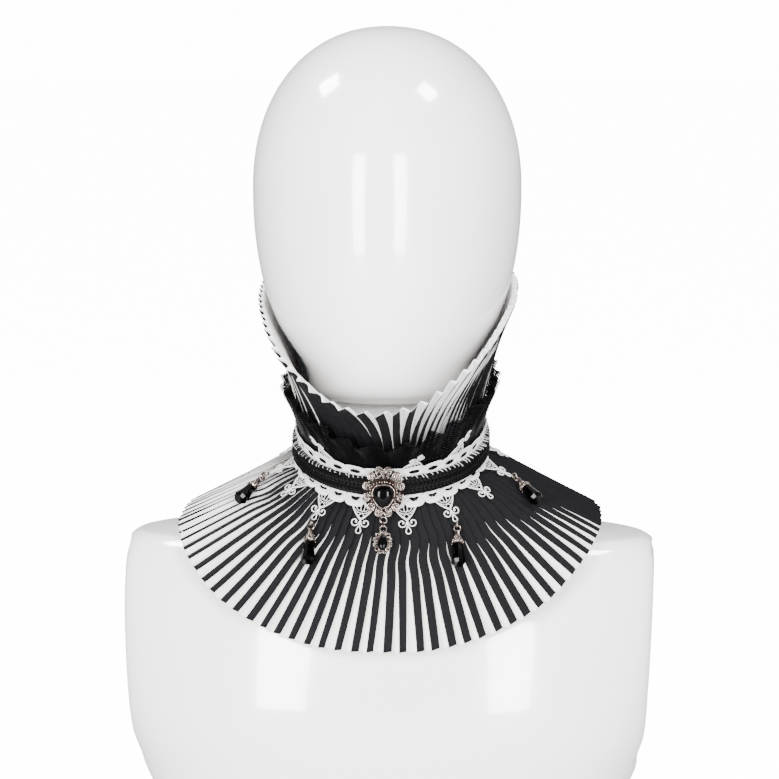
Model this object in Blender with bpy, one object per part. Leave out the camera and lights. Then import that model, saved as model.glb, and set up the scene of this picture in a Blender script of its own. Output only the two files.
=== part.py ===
"""Stand collar of pleated trim, net, lace and braid, resting on a limbless bust form.

Metres, +Z up, front of the collar towards -Y. The origin is on the flat base of the bust,
under the middle of the neck. Angles round the neck are 0 at the centre front, positive
towards +X, and 180 degrees at the centre back, where the collar opens.
"""
import math

import bmesh
import bpy
import numpy as np
from mathutils import Matrix, Vector
from mathutils.geometry import tessellate_polygon

# Neck band: the ring that every strip is sewn to, lower at the front than at the back
BAND_Z = 0.229
BAND_TILT = 0.018
ROOT_RADIUS = 0.0505
SEAM = 0.0003
BACK_GAP_DEG = 1.0

# Pleated trim, used downwards as the flounce and upwards as the stand
PLEATS = 84
RIDGE_PART = 0.71
CLOTH_WALL = 0.0019
FOLD_AT_NECK = 0.0015
FOLD_AT_EDGE = 0.0036
FLOUNCE_LEG = 0.0057
FLOUNCE_BEND = 0.007
FLOUNCE_NEAR_ROWS = (0.00015, 0.0057, 0.0105)
FLOUNCE_FAR_ROWS = (0.56, 1.0)
RUFF_FLAT = 0.0057
RUFF_ROWS = (0.0, 0.2, 0.5, 1.0)
RUFF_LEG = 0.027

# Layers outside the trim, as distances from the trim's base surface
NET_OFFSET = 0.0020
NET_WALL = 0.0011
NET_WAVES = 28
NET_SWELL = 0.0022
LACE_OFFSET = 0.0035
LACE_WALL = 0.0010
BRAID_OFFSET = 0.0052
BRAID_WALL = 0.0020
BRAID_WIDTH = 0.0114
TRIM_GAP_DEG = 1.6
CLASP_HALF_WIDTH = 0.0060
CLASP_HALF_HEIGHT = 0.0035
CLASP_WALL = 0.0010

# Lace: one repeat is two scallops with a hanging point where they meet
REPEAT_DEG = 24.0
REPEATS = 14
LACE_STEP_DEG = 4.0
PLAIN_STEP_DEG = 6.0
LACE_TOP = 0.0045
LACE_CUSP = 0.0105
SCALLOP_DROP = 0.0042
UPPER_LACE_TOP = 0.0128
UPPER_POINTS_DEG = (-36.0, 16.0, 44.0)
UPPER_POINT_HALF_DEG = 6.0
UPPER_POINT_SCALE = 0.8
UPPER_POINT_RISE = 0.0002
LACE_LEAN = 0.10
LACE_CURL = 0.30
LACE_CURL_FROM = 0.010

# Bust form
NECK_RADIUS = 0.0475
HEAD_HALF_WIDTH = 0.0768
HEAD_HALF_DEPTH = 0.093
HEAD_Y = -0.030
HEAD_Z = 0.381
HEAD_UP = 0.092
HEAD_DOWN = 0.122
HEAD_SQUARE = 2.15
JAW_SQUARE = 2.2
CHIN_SQUARE = 3.3
HEAD_SHIFT_FROM = 0.256
HEAD_SHIFT_OVER = 0.050
FORM_POINTS = 40

# Brooch and its pendant
BROOCH_Z = 0.2096
BROOCH_BACK = 0.0601
BROOCH_TILT_DEG = 4.8
BROOCH_HALF_WIDTH = 0.0118
BROOCH_HALF_HEIGHT = 0.0141
BROOCH_LOBES = 12
RING_MAJOR = 0.0019
RING_WIRE = 0.00045
RING_STEP = 0.0026
RING_AROUND = 10
RING_SECTION = 5
LUG_OVERLAP = 0.0004
LOBE_SHARE = 0.055
BOSS_RADIUS = 0.0034
BOSS_OVERLAP = 0.0008
LOOP_FORWARD = 0.0010
STONE_HALF_WIDTH = 0.0057
STONE_HALF_HEIGHT = 0.0060
PENDANT_HALF_WIDTH = 0.0054
PENDANT_HALF_HEIGHT = 0.0067
PENDANT_LOBES = 8
PENDANT_SET_BACK = 0.0008
PEAR_HALF_WIDTH = 0.0031
PEAR_HALF_HEIGHT = 0.00495
PEAR_NARROW = 0.55

# Drop beads
CAP_LENGTH = 0.0082
CAP_RADIUS = 0.0036
BEAD_LENGTH = 0.0132
BEAD_TOP = 0.0029
BEAD_BOTTOM = 0.0043
BEAD_SIDES = 10
CAP_OVERLAP = 0.0003
TOP_SHARE = 0.34
END_SHARE = 0.62

# Hem of the flounce, right half: rows from centre front to centre back
HEM_COLUMNS = ("x", "y", "z")
HEM = (
    (0.0000, -0.0960, 0.1230),
    (0.0330, -0.0950, 0.1250),
    (0.0640, -0.0880, 0.1335),
    (0.0940, -0.0780, 0.1500),
    (0.1120, -0.0600, 0.1675),
    (0.1205, -0.0330, 0.1785),
    (0.1225, 0.0020, 0.1830),
    (0.1180, 0.0400, 0.1850),
    (0.0950, 0.0830, 0.1850),
    (0.0550, 0.1100, 0.1830),
    (0.0000, 0.1190, 0.1820),
)

# Outer edge of the stand: rows by angle from the centre front
RIM_COLUMNS = ("angle", "radius", "z")
RIM = (
    (0, 0.1285, 0.2660),
    (10, 0.1265, 0.2700),
    (20, 0.1185, 0.2810),
    (30, 0.1090, 0.2925),
    (40, 0.0980, 0.3035),
    (50, 0.0880, 0.3105),
    (60, 0.0815, 0.3165),
    (80, 0.0725, 0.3255),
    (100, 0.0685, 0.3300),
    (120, 0.0670, 0.3340),
    (150, 0.0690, 0.3400),
    (180, 0.0720, 0.3440),
)

# Torso sections, from the flat base to the neck
TORSO_COLUMNS = ("z", "half_width", "arm_cut", "front", "back", "square")
TORSO = (
    (0.000, 0.118, 0.160, 0.070, 0.074, 2.6),
    (0.008, 0.129, 0.160, 0.077, 0.081, 2.6),
    (0.024, 0.139, 0.160, 0.084, 0.088, 2.6),
    (0.044, 0.148, 0.1465, 0.089, 0.092, 2.6),
    (0.062, 0.156, 0.1500, 0.091, 0.094, 2.6),
    (0.090, 0.163, 0.1520, 0.090, 0.095, 2.5),
    (0.120, 0.167, 0.1535, 0.083, 0.093, 2.4),
    (0.148, 0.166, 0.1545, 0.072, 0.085, 2.3),
    (0.163, 0.162, 0.1548, 0.062, 0.077, 2.2),
    (0.172, 0.156, 0.1540, 0.054, 0.071, 2.2),
    (0.1762, 0.1490, 0.160, 0.049, 0.066, 2.2),
    (0.1775, 0.1330, 0.160, 0.047, 0.064, 2.2),
    (0.1795, 0.1190, 0.160, 0.046, 0.062, 2.1),
    (0.1850, 0.1030, 0.160, 0.046, 0.059, 2.0),
    (0.1930, 0.0800, 0.160, 0.046, 0.055, 2.0),
    (0.2000, 0.0620, 0.160, 0.0465, 0.051, 2.0),
    (0.2070, 0.0495, 0.160, 0.0470, 0.0490, 2.0),
    (0.2140, 0.0478, 0.160, 0.0473, 0.0480, 2.0),
)

# Levels of the sections through the neck and head
HEAD_LEVELS = (0.224, 0.242, 0.258, 0.266, 0.274, 0.286, 0.300, 0.318, 0.340, 0.362,
               0.384, 0.406, 0.426, 0.443, 0.457, 0.466, 0.4715)

# Lower outline of one lace point, right half, from the scallop's cusp to the tip
POINT_COLUMNS = ("across_deg", "down")
LACE_POINT = (
    (9.2, 0.0145),
    (6.6, 0.0148),
    (5.5, 0.0168),
    (3.4, 0.0192),
    (0.9, 0.0224),
    (2.4, 0.0223),
    (3.9, 0.0241),
    (2.9, 0.0263),
    (1.0, 0.0266),
    (1.3, 0.0290),
    (0.0, 0.0306),
)

# Drop beads: where each one hangs from the lace and where its bottom lies on the flounce
DROP_COLUMNS = ("name", "top_deg", "top_down", "end_deg", "end_down", "links")
DROPS = (
    ("left_front", -36.0, 0.0309, -27.0, 0.059, 1),
    ("right_front", 36.0, 0.0309, 27.5, 0.060, 1),
    ("left_side", -84.0, 0.0309, -68.0, 0.058, 2),
    ("right_side", 84.0, 0.0309, 70.5, 0.057, 1),
)

# Mounts and stones, from the back to the front
PLATE_COLUMNS = ("scale", "forward")
BROOCH_PLATE = ((0.94, 0.0), (1.0, 0.0007), (0.90, 0.0018), (0.70, 0.0020), (0.66, 0.0031),
                (0.57, 0.0031), (0.54, 0.0022))
BROOCH_CABOCHON = ((1.0, 0.0025), (0.96, 0.0046), (0.76, 0.0065), (0.36, 0.0075))
PENDANT_PLATE = ((0.92, 0.0), (1.0, 0.0006), (0.92, 0.0015), (0.84, 0.0017))
PENDANT_CABOCHON = ((1.0, 0.0020), (0.96, 0.0028), (0.75, 0.0037), (0.35, 0.0042))

# Cap and bead of a drop, as shares of their lengths and sizes
TURNED_COLUMNS = ("along", "radius")
CAP_TURNED = ((0.0, 0.36), (0.30, 0.58), (0.38, 0.53), (0.92, 1.0), (1.0, 0.97))
BEAD_TURNED = ((0.0, BEAD_TOP), (0.86, BEAD_BOTTOM), (1.0, 0.74 * BEAD_BOTTOM))

MATERIALS = {
    "gloss_white": ((0.90, 0.90, 0.90), 0.12, 0.0),
    "striped_trim": ((0.45, 0.45, 0.46), 0.70, 0.0),
    "black_net": ((0.02, 0.02, 0.022), 0.80, 0.0),
    "white_lace": ((0.84, 0.83, 0.82), 0.85, 0.0),
    "black_braid": ((0.015, 0.015, 0.016), 0.75, 0.0),
    "old_silver": ((0.55, 0.50, 0.46), 0.30, 1.0),
    "black_stone": ((0.005, 0.005, 0.006), 0.08, 0.0),
}


def clear_scene():
    """Remove whatever the opened file holds."""
    for item in list(bpy.data.objects):
        bpy.data.objects.remove(item, do_unlink=True)


def material(name):
    """The plain finish of one kind of piece."""
    found = bpy.data.materials.get(name)
    if found:
        return found
    colour, roughness, metallic = MATERIALS[name]
    made = bpy.data.materials.new(name)
    made.use_nodes = True
    shader = made.node_tree.nodes["Principled BSDF"]
    shader.inputs["Base Color"].default_value = (*colour, 1.0)
    shader.inputs["Roughness"].default_value = roughness
    shader.inputs["Metallic"].default_value = metallic
    return made


def add_object(name, points, faces, finish):
    """Put points and faces into a named object with outward faces."""
    mesh = bpy.data.meshes.new(name)
    mesh.from_pydata([tuple(p) for p in points], [], faces)
    shape = bmesh.new()
    shape.from_mesh(mesh)
    bmesh.ops.recalc_face_normals(shape, faces=shape.faces)
    shape.to_mesh(mesh)
    shape.free()
    mesh.materials.append(material(finish))
    made = bpy.data.objects.new(name, mesh)
    bpy.context.scene.collection.objects.link(made)
    return made


def smooth_through(places, values, at):
    """Smooth curve through the values given at rising places, level at both ends."""
    places = np.asarray(places, float)
    values = np.asarray(values, float)
    slopes = np.gradient(values, places)
    slopes[0] = 0.0
    slopes[-1] = 0.0
    at = np.clip(at, places[0], places[-1])
    i = np.clip(np.searchsorted(places, at) - 1, 0, len(places) - 2)
    span = places[i + 1] - places[i]
    t = (at - places[i]) / span
    start = (1 + 2 * t) * (1 - t) ** 2
    leave = t * (1 - t) ** 2
    end = t * t * (3 - 2 * t)
    arrive = t * t * (t - 1)
    return (start * values[i] + leave * span * slopes[i]
            + end * values[i + 1] + arrive * span * slopes[i + 1])


def band_height(angle):
    """Height of the middle of the neck band."""
    return BAND_Z - BAND_TILT * np.cos(angle)


def hem_point(angle):
    """Point of the flounce's hem: the pleats share the hem's length equally."""
    rows = np.array(HEM)
    steps = np.linalg.norm(np.diff(rows, axis=0), axis=1)
    along = np.concatenate([[0.0], np.cumsum(steps)])
    share = np.abs(angle) / math.pi * along[-1]
    slopes = np.gradient(rows, along, axis=0)
    slopes[0] = (np.linalg.norm(slopes[0]), 0.0, 0.0)
    slopes[-1] = (-np.linalg.norm(slopes[-1]), 0.0, 0.0)
    share = np.clip(share, 0.0, along[-1])
    i = np.clip(np.searchsorted(along, share) - 1, 0, len(along) - 2)
    span = (along[i + 1] - along[i])[..., None]
    t = ((share - along[i])[..., None]) / span
    point = ((1 + 2 * t) * (1 - t) ** 2 * rows[i] + t * (1 - t) ** 2 * span * slopes[i]
             + t * t * (3 - 2 * t) * rows[i + 1] + t * t * (t - 1) * span * slopes[i + 1])
    point[..., 0] *= np.sign(angle)
    return point


def rim_point(angle):
    """Point of the stand's outer edge."""
    rows = np.array(RIM)
    turn = np.degrees(np.abs(angle))
    radius = smooth_through(rows[:, 0], rows[:, 1], turn)
    height = smooth_through(rows[:, 0], rows[:, 2], turn)
    return np.stack([radius * np.sin(angle), -radius * np.cos(angle), height], axis=-1)


def neck_point(angle):
    """Point of the sewing line on the band."""
    return np.stack([ROOT_RADIUS * np.sin(angle), -ROOT_RADIUS * np.cos(angle),
                     band_height(angle)], axis=-1)


def flounce_base(angle, down):
    """Flounce without its folds: straight down the band, round a bend, straight to the hem."""
    angle, down = np.broadcast_arrays(np.asarray(angle, float), np.asarray(down, float))
    start = neck_point(angle)
    reach = hem_point(angle) - start
    across = np.hypot(reach[..., 0], reach[..., 1])
    outward = np.stack([reach[..., 0] / across, reach[..., 1] / across, 0 * across], axis=-1)
    to_x = across - FLOUNCE_BEND
    to_z = reach[..., 2] + FLOUNCE_LEG
    straight = np.sqrt(to_x ** 2 + to_z ** 2 - FLOUNCE_BEND ** 2)
    turn = math.pi / 2 + np.arctan2(to_z, to_x) + np.arctan2(FLOUNCE_BEND, straight)
    on_leg = np.minimum(down, FLOUNCE_LEG)
    on_bend = np.clip((down - FLOUNCE_LEG) / FLOUNCE_BEND, 0.0, turn)
    on_line = np.maximum(down - FLOUNCE_LEG - FLOUNCE_BEND * turn, 0.0)
    x = FLOUNCE_BEND * (1 - np.cos(on_bend)) + on_line * np.sin(turn)
    z = -on_leg - FLOUNCE_BEND * np.sin(on_bend) - on_line * np.cos(turn)
    return start + outward * x[..., None] + np.stack([0 * z, 0 * z, z], axis=-1)


def flounce_length(angle):
    """Length of the flounce from the sewing line to the hem."""
    reach = hem_point(angle) - neck_point(angle)
    across = np.hypot(reach[..., 0], reach[..., 1])
    to_x = across - FLOUNCE_BEND
    to_z = reach[..., 2] + FLOUNCE_LEG
    straight = np.sqrt(to_x ** 2 + to_z ** 2 - FLOUNCE_BEND ** 2)
    turn = math.pi / 2 + np.arctan2(to_z, to_x) + np.arctan2(FLOUNCE_BEND, straight)
    return FLOUNCE_LEG + FLOUNCE_BEND * turn + straight


def ruff_base(angle, part):
    """Stand without its folds: upright on the band, then a curve that opens outward.

    part is 0 where the curve leaves the band and 1 at the edge, and below 0 on the band.
    """
    angle, part = np.broadcast_arrays(np.asarray(angle, float), np.asarray(part, float))
    start = neck_point(angle) + np.array([0.0, 0.0, RUFF_FLAT])
    middle = start + np.array([0.0, 0.0, RUFF_LEG])
    end = rim_point(angle)
    t = np.maximum(part, 0.0)[..., None]
    curve = (1 - t) ** 2 * start + 2 * t * (1 - t) * middle + t * t * end
    curve[..., 2] += 2 * RUFF_LEG * np.minimum(part, 0.0)
    return curve


def surface_normal(base, angle, along, side):
    """Unit normal of a base surface, on the side that shows."""
    turn_step = 1e-3
    step = 1e-4 if base is flounce_base else 1e-3
    round_way = base(angle + turn_step, along) - base(angle - turn_step, along)
    down_way = base(angle, along + step) - base(angle, along - step)
    normal = side * np.cross(down_way, round_way)
    return normal / np.linalg.norm(normal, axis=-1, keepdims=True)


def offset_point(base, angle, along, away, side):
    """Point of a base surface moved out along its normal."""
    angle, along = np.broadcast_arrays(np.asarray(angle, float), np.asarray(along, float))
    normal = surface_normal(base, angle, along, side)
    return base(angle, along) + normal * np.asarray(away, float)[..., None]


def on_flounce(angle, down, away):
    """Point over the flounce at a distance from its base surface."""
    return offset_point(flounce_base, angle, down, away, 1.0)


def on_ruff(angle, part, away):
    """Point over the stand at a distance from its base surface."""
    return offset_point(ruff_base, angle, part, away, -1.0)


def ruff_part(height_up):
    """Place on the stand's curve at a distance up from the sewing line, near the band."""
    return (height_up - RUFF_FLAT) / (2 * RUFF_LEG)


def wall_from_grids(name, outer, inner, finish):
    """Close two grids of points, outer and inner, into one wall with four edges."""
    rows, columns = outer.shape[:2]
    points = np.concatenate([outer.reshape(-1, 3), inner.reshape(-1, 3)])
    shift = rows * columns
    faces = []
    for i in range(rows - 1):
        for j in range(columns - 1):
            a = i * columns + j
            quad = (a, a + 1, a + columns + 1, a + columns)
            faces.append(quad)
            faces.append(tuple(v + shift for v in reversed(quad)))
    border = [j for j in range(columns)]
    border += [i * columns + columns - 1 for i in range(1, rows)]
    border += [(rows - 1) * columns + j for j in range(columns - 2, -1, -1)]
    border += [i * columns for i in range(rows - 2, 0, -1)]
    for k, a in enumerate(border):
        b = border[(k + 1) % len(border)]
        faces.append((b, a, a + shift, b + shift))
    return add_object(name, points, faces, finish)


def fold_columns(ridge_first):
    """Angles of the fold lines and whether each is a ridge (1) or a valley (0)."""
    reach = math.pi - math.radians(BACK_GAP_DEG)
    pleat = 2 * reach / PLEATS
    angles = []
    raised = []
    for k in range(PLEATS):
        start = -reach + k * pleat
        angles += [start, start + RIDGE_PART * pleat]
        raised += [1.0, 0.0] if ridge_first else [0.0, 1.0]
    angles.append(reach)
    raised.append(1.0 if ridge_first else 0.0)
    return np.array(angles), np.array(raised)


def fold_depth(share):
    """Height of the pleats at a share of the way from the band to the edge."""
    return FOLD_AT_NECK + (FOLD_AT_EDGE - FOLD_AT_NECK) * np.clip(share, 0.0, 1.0)


def make_flounce():
    """Striped trim hanging from the band over the shoulders."""
    angles, raised = fold_columns(ridge_first=False)
    length = flounce_length(angles)
    down = [np.full_like(angles, near) for near in FLOUNCE_NEAR_ROWS]
    down += [share * length for share in FLOUNCE_FAR_ROWS]
    down = np.array(down)
    depth = fold_depth(down / length)
    outer = on_flounce(angles[None, :], down, raised[None, :] * depth)
    inner = on_flounce(angles[None, :], down, raised[None, :] * depth - CLOTH_WALL)
    return wall_from_grids("lower_flounce", outer, inner, "striped_trim")


def make_ruff():
    """The same trim turned upward as the stand round the face."""
    angles, raised = fold_columns(ridge_first=True)
    part = np.array((ruff_part(SEAM / 2), *RUFF_ROWS))[:, None]
    depth = fold_depth(part)
    outer = on_ruff(angles[None, :], part, raised[None, :] * depth)
    inner = on_ruff(angles[None, :], part, raised[None, :] * depth - CLOTH_WALL)
    return wall_from_grids("stand_ruff", outer, inner, "striped_trim")


def net_away(angle, part):
    """Distance of the net from the stand's base: flat at the band, waved at the edge."""
    free = np.clip((part - ruff_part(UPPER_LACE_TOP)) / 0.35, 0.0, 1.2) ** 1.2
    return NET_OFFSET + free * NET_SWELL * (1.6 + np.sin(NET_WAVES * angle))


def make_net():
    """Gathered net ruffle in front of the stand."""
    reach = math.pi - math.radians(TRIM_GAP_DEG)
    angles = np.linspace(-reach, reach, NET_WAVES * 4 + 1)[None, :]
    part = np.array((ruff_part(LACE_TOP), *RUFF_ROWS[1:3]))[:, None]
    away = net_away(angles, part)
    outer = on_ruff(angles, part, away + NET_WALL)
    inner = on_ruff(angles, part, away)
    return wall_from_grids("net_ruffle", outer, inner, "black_net")


def make_braid():
    """Gimp braid round the neck, slightly crowned, over every seam."""
    reach = math.pi - math.radians(TRIM_GAP_DEG)
    angles = np.linspace(-reach, reach, 73)
    across = np.array((-0.5, 0.0, 0.5)) * BRAID_WIDTH
    crown = np.array((0.72, 1.0, 0.72)) * BRAID_WALL
    inner_radius = ROOT_RADIUS + BRAID_OFFSET
    outer = ring_points(angles, across, inner_radius + crown)
    inner = ring_points(angles, across, np.full(3, inner_radius))
    return wall_from_grids("neck_braid", outer, inner, "black_braid")


def ring_points(angles, across, radii):
    """Grid of points on rings that follow the tilted band."""
    x = radii[:, None] * np.sin(angles)[None, :]
    y = -radii[:, None] * np.cos(angles)[None, :]
    z = band_height(angles)[None, :] + across[:, None]
    return np.stack([x, y, z], axis=-1)


def close_sheet(name, flat, triangles, placed, finish):
    """Give a triangulated flat piece its place and its thickness.

    flat is a list of keys, triangles index it, and placed gives the outer and inner point
    of each key.
    """
    outer = [placed[key][0] for key in flat]
    inner = [placed[key][1] for key in flat]
    shift = len(flat)
    edges = {}
    for tri in triangles:
        for a, b in ((tri[0], tri[1]), (tri[1], tri[2]), (tri[2], tri[0])):
            edges[(a, b)] = edges.get((a, b), 0) + 1
    faces = [tuple(tri) for tri in triangles]
    faces += [tuple(v + shift for v in reversed(tri)) for tri in triangles]
    faces += [(b, a, a + shift, b + shift) for (a, b) in edges if (b, a) not in edges]
    return add_object(name, outer + inner, faces, finish)


def same_turn(polygon, tri):
    """Order a triangle of a flat polygon so that it turns with the clock hand reversed."""
    a, b, c = (polygon[k] for k in tri)
    area = (b[0] - a[0]) * (c[1] - a[1]) - (b[1] - a[1]) * (c[0] - a[0])
    return tri if area > 0 else tri[::-1]


def lace_sheet(name, cells, place, finish):
    """Join flat polygons, given as lists of (angle in degrees, distance), into one wall."""
    keys = []
    index = {}
    triangles = []
    for polygon in cells:
        loop = []
        for angle, along in polygon:
            key = (round(angle, 4), round(along, 6))
            if key not in index:
                index[key] = len(keys)
                keys.append(key)
            loop.append(index[key])
        middle = sum(a for a, _ in polygon) / len(polygon)
        flat = [Vector((a, d * 1000.0 + 0.01 * (a - middle) ** 2, 0.0)) for a, d in polygon]
        for tri in tessellate_polygon([flat]):
            turned = same_turn([(v.x, v.y) for v in flat], tuple(tri))
            triangles.append(tuple(loop[k] for k in turned))
    placed = {key: place(math.radians(key[0]), key[1]) for key in keys}
    return close_sheet(name, keys, triangles, placed, finish)


def strip_cells(low, high, step, levels):
    """Quads of a plain strip between two angles, with the given distances."""
    count = max(1, round((high - low) / step))
    angles = [low + (high - low) * k / count for k in range(count + 1)]
    cells = []
    for k in range(count):
        for near, far in zip(levels[:-1], levels[1:]):
            cells.append([(angles[k], near), (angles[k + 1], near),
                          (angles[k + 1], far), (angles[k], far)])
    return cells, angles


def scallop_down(across):
    """Depth of a plain scallop's edge at an angle from its middle, in degrees."""
    half = REPEAT_DEG / 4
    rise = math.sqrt(max(0.0, 1 - (across / half) ** 2))
    return LACE_CUSP + SCALLOP_DROP * rise


def place_on_flounce(angle, down):
    """Outer and inner point of the lower lace."""
    outer = on_flounce(angle, down, LACE_OFFSET + LACE_WALL)
    inner = on_flounce(angle, down, LACE_OFFSET)
    return outer, inner


def make_lower_lace():
    """Lace below the braid: scallops, and a hanging point at every second cusp."""
    half = REPEAT_DEG / 2
    levels = (LACE_TOP, LACE_CUSP)
    cells = []
    for k in range(REPEATS):
        centre = REPEAT_DEG * (k - (REPEATS - 1) / 2)
        strip, angles = strip_cells(centre - half, centre + half, LACE_STEP_DEG, levels)
        cells += strip
        top = [(a, LACE_CUSP) for a in angles]
        right = [(centre + a, d) for a, d in LACE_POINT]
        left = [(centre - a, d) for a, d in reversed(LACE_POINT[:-1])]
        cells.append(top + right + left)
    end = 180.0 - TRIM_GAP_DEG
    for side in (-1, 1):
        first = REPEATS * half
        strip, angles = strip_cells(first, end, LACE_STEP_DEG, levels)
        edge = [(a, LACE_CUSP) for a in angles]
        lower = [(end, scallop_down(end - first - half / 2)), (first + 7.0, scallop_down(1.0)),
                 (first + 3.0, scallop_down(-3.0))]
        for cell in strip + [edge + lower]:
            turned = [(side * a, d) for a, d in cell]
            cells.append(turned if side > 0 else turned[::-1])
    return lace_sheet("lace_lower", cells, place_on_flounce, "white_lace")


def place_on_ruff(angle, up):
    """Outer and inner point of the upper lace, whose points lie over the net."""
    lift = LACE_OFFSET + LACE_LEAN * (up - LACE_TOP)
    lift += LACE_CURL * max(0.0, up - LACE_CURL_FROM)
    outer = on_ruff(angle, ruff_part(up), lift + LACE_WALL)
    inner = on_ruff(angle, ruff_part(up), lift)
    return outer, inner


def make_upper_lace():
    """Lace above the braid, with the few points that stand up over the net."""
    end = 180.0 - TRIM_GAP_DEG
    half = UPPER_POINT_HALF_DEG
    levels = (LACE_TOP, UPPER_LACE_TOP)
    cells = []
    place = -end
    for centre in (*UPPER_POINTS_DEG, None):
        stop = end if centre is None else centre - half
        strip, _ = strip_cells(place, stop, PLAIN_STEP_DEG, levels)
        cells += strip
        if centre is not None:
            strip, angles = strip_cells(centre - half, centre + half, LACE_STEP_DEG, levels)
            cells += strip
            top = [(a, UPPER_LACE_TOP) for a in angles]
            rise = UPPER_LACE_TOP + UPPER_POINT_RISE
            sides = [(a, rise + UPPER_POINT_SCALE * (d - LACE_POINT[1][1]))
                     for a, d in LACE_POINT[1:-1]]
            outline = [(centre + a, d) for a, d in sides[:-1]]
            outline.append((centre, sides[-1][1]))
            outline += [(centre - a, d) for a, d in reversed(sides[:-1])]
            cells.append(top + outline)
            place = centre + half
    return lace_sheet("lace_upper", cells, place_on_ruff, "white_lace")


def make_clasp():
    """Flat hook plate that joins the two ends of the braid at the centre back."""
    radius = ROOT_RADIUS + BRAID_OFFSET + BRAID_WALL + SEAM
    reach = CLASP_HALF_WIDTH / radius
    angles = np.linspace(math.pi - reach, math.pi + reach, 7)
    across = np.array((-CLASP_HALF_HEIGHT, CLASP_HALF_HEIGHT))
    outer = ring_points(angles, across, np.full(2, radius + CLASP_WALL))
    inner = ring_points(angles, across, np.full(2, radius))
    return wall_from_grids("back_clasp", outer, inner, "old_silver")


def section_ring(z, half_width, arm_cut, middle, front, back, square):
    """Ring of points of one section through the form."""
    ring = []
    for k in range(FORM_POINTS):
        turn = 2 * math.pi * k / FORM_POINTS
        c, s = math.cos(turn), math.sin(turn)
        bow = (abs(c) ** square + abs(s) ** square) ** (-1 / square)
        depth = front + middle if s < 0 else back - middle
        x = half_width * bow * c
        x = max(-arm_cut, min(arm_cut, x))
        ring.append((x, middle + depth * bow * s, z))
    return ring


def head_section(z):
    """Section through the neck and the egg-shaped head, whichever is larger."""
    if z < HEAD_Z:
        drop = min(1.0, (HEAD_Z - z) / HEAD_DOWN)
        full = (1 - drop ** JAW_SQUARE) ** (1 / JAW_SQUARE)
        chin = (1 - drop ** CHIN_SQUARE) ** (1 / CHIN_SQUARE)
    else:
        full = (1 - ((z - HEAD_Z) / HEAD_UP) ** HEAD_SQUARE) ** (1 / HEAD_SQUARE)
        chin = full
    half_width = HEAD_HALF_WIDTH * full
    front = HEAD_HALF_DEPTH * chin - HEAD_Y
    back = HEAD_HALF_DEPTH * full + HEAD_Y
    share = min(1.0, max(0.0, (z - HEAD_SHIFT_FROM) / HEAD_SHIFT_OVER))
    if z < HEAD_Z:
        half_width = max(half_width, NECK_RADIUS)
        front = max(front, NECK_RADIUS) if full > 0 else NECK_RADIUS
        back = max(back, NECK_RADIUS)
    return section_ring(z, half_width, 1.0, HEAD_Y * share, front, back, 2.0)


def make_form():
    """Smooth armless bust with a plain egg head."""
    rings = []
    for z, half_width, arm_cut, front, back, square in TORSO:
        rings.append(section_ring(z, half_width, arm_cut, 0.0, front, back, square))
    rings += [head_section(z) for z in HEAD_LEVELS]
    points = [p for ring in rings for p in ring]
    n = FORM_POINTS
    faces = [tuple(range(n - 1, -1, -1))]
    for i in range(len(rings) - 1):
        for k in range(n):
            a, b = i * n + k, i * n + (k + 1) % n
            faces.append((a, b, b + n, a + n))
    top = len(points)
    points.append((0.0, HEAD_Y, HEAD_Z + HEAD_UP))
    last = (len(rings) - 1) * n
    faces += [(last + k, last + (k + 1) % n, top) for k in range(n)]
    return add_object("bust_form", points, faces, "gloss_white")


def turned_solid(name, profile, sides, finish, centre, axis, first_side=None):
    """Solid of rings round an axis; profile rows are (distance along the axis, radius)."""
    axis = Vector(axis).normalized()
    first = (first_side or Vector((0.0, 0.0, 1.0)).cross(axis)).normalized()
    second = axis.cross(first)
    points = []
    for along, radius in profile:
        for k in range(sides):
            turn = 2 * math.pi * k / sides
            reach = first * math.cos(turn) + second * math.sin(turn)
            points.append(centre + axis * along + reach * radius)
    faces = [tuple(range(sides - 1, -1, -1))]
    for i in range(len(profile) - 1):
        for k in range(sides):
            a, b = i * sides + k, i * sides + (k + 1) % sides
            faces.append((a, b, b + sides, a + sides))
    last = (len(profile) - 1) * sides
    faces.append(tuple(range(last, last + sides)))
    return add_object(name, points, faces, finish)


def wire_ring(name, centre, normal, finish):
    """Small wire ring whose opening looks along the normal."""
    normal = Vector(normal).normalized()
    aside = Vector((0.31, 0.17, 0.93)).cross(normal).normalized()
    up = normal.cross(aside)
    points = []
    for i in range(RING_AROUND):
        turn = 2 * math.pi * i / RING_AROUND
        out = aside * math.cos(turn) + up * math.sin(turn)
        for k in range(RING_SECTION):
            roll = 2 * math.pi * k / RING_SECTION
            reach = out * math.cos(roll) + normal * math.sin(roll)
            points.append(centre + out * RING_MAJOR + reach * RING_WIRE)
    faces = []
    for i in range(RING_AROUND):
        here, there = i * RING_SECTION, ((i + 1) % RING_AROUND) * RING_SECTION
        for k in range(RING_SECTION):
            after = (k + 1) % RING_SECTION
            faces.append((here + k, here + after, there + after, there + k))
    return add_object(name, points, faces, finish)


def join_solids(keep, other):
    """Fuse a second solid into the first."""
    union = keep.modifiers.new("union", "BOOLEAN")
    union.operation = "UNION"
    union.object = other
    graph = bpy.context.evaluated_depsgraph_get()
    mesh = bpy.data.meshes.new_from_object(keep.evaluated_get(graph))
    keep.modifiers.clear()
    keep.data = mesh
    bpy.data.objects.remove(other, do_unlink=True)
    return keep


def plate_stack(name, outline, rows, place, finish):
    """Solid of one outline repeated: rows are (scale of the outline, distance forward)."""
    n = len(outline)
    points = []
    for scale, forward in rows:
        points += [place(x * scale, forward, z * scale) for x, z in outline]
    faces = [tuple(range(n))]
    for i in range(len(rows) - 1):
        for k in range(n):
            a, b = i * n + k, i * n + (k + 1) % n
            faces.append((b, a, a + n, b + n))
    last = (len(rows) - 1) * n
    faces.append(tuple(range(last + n - 1, last - 1, -1)))
    return add_object(name, points, faces, finish)


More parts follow.
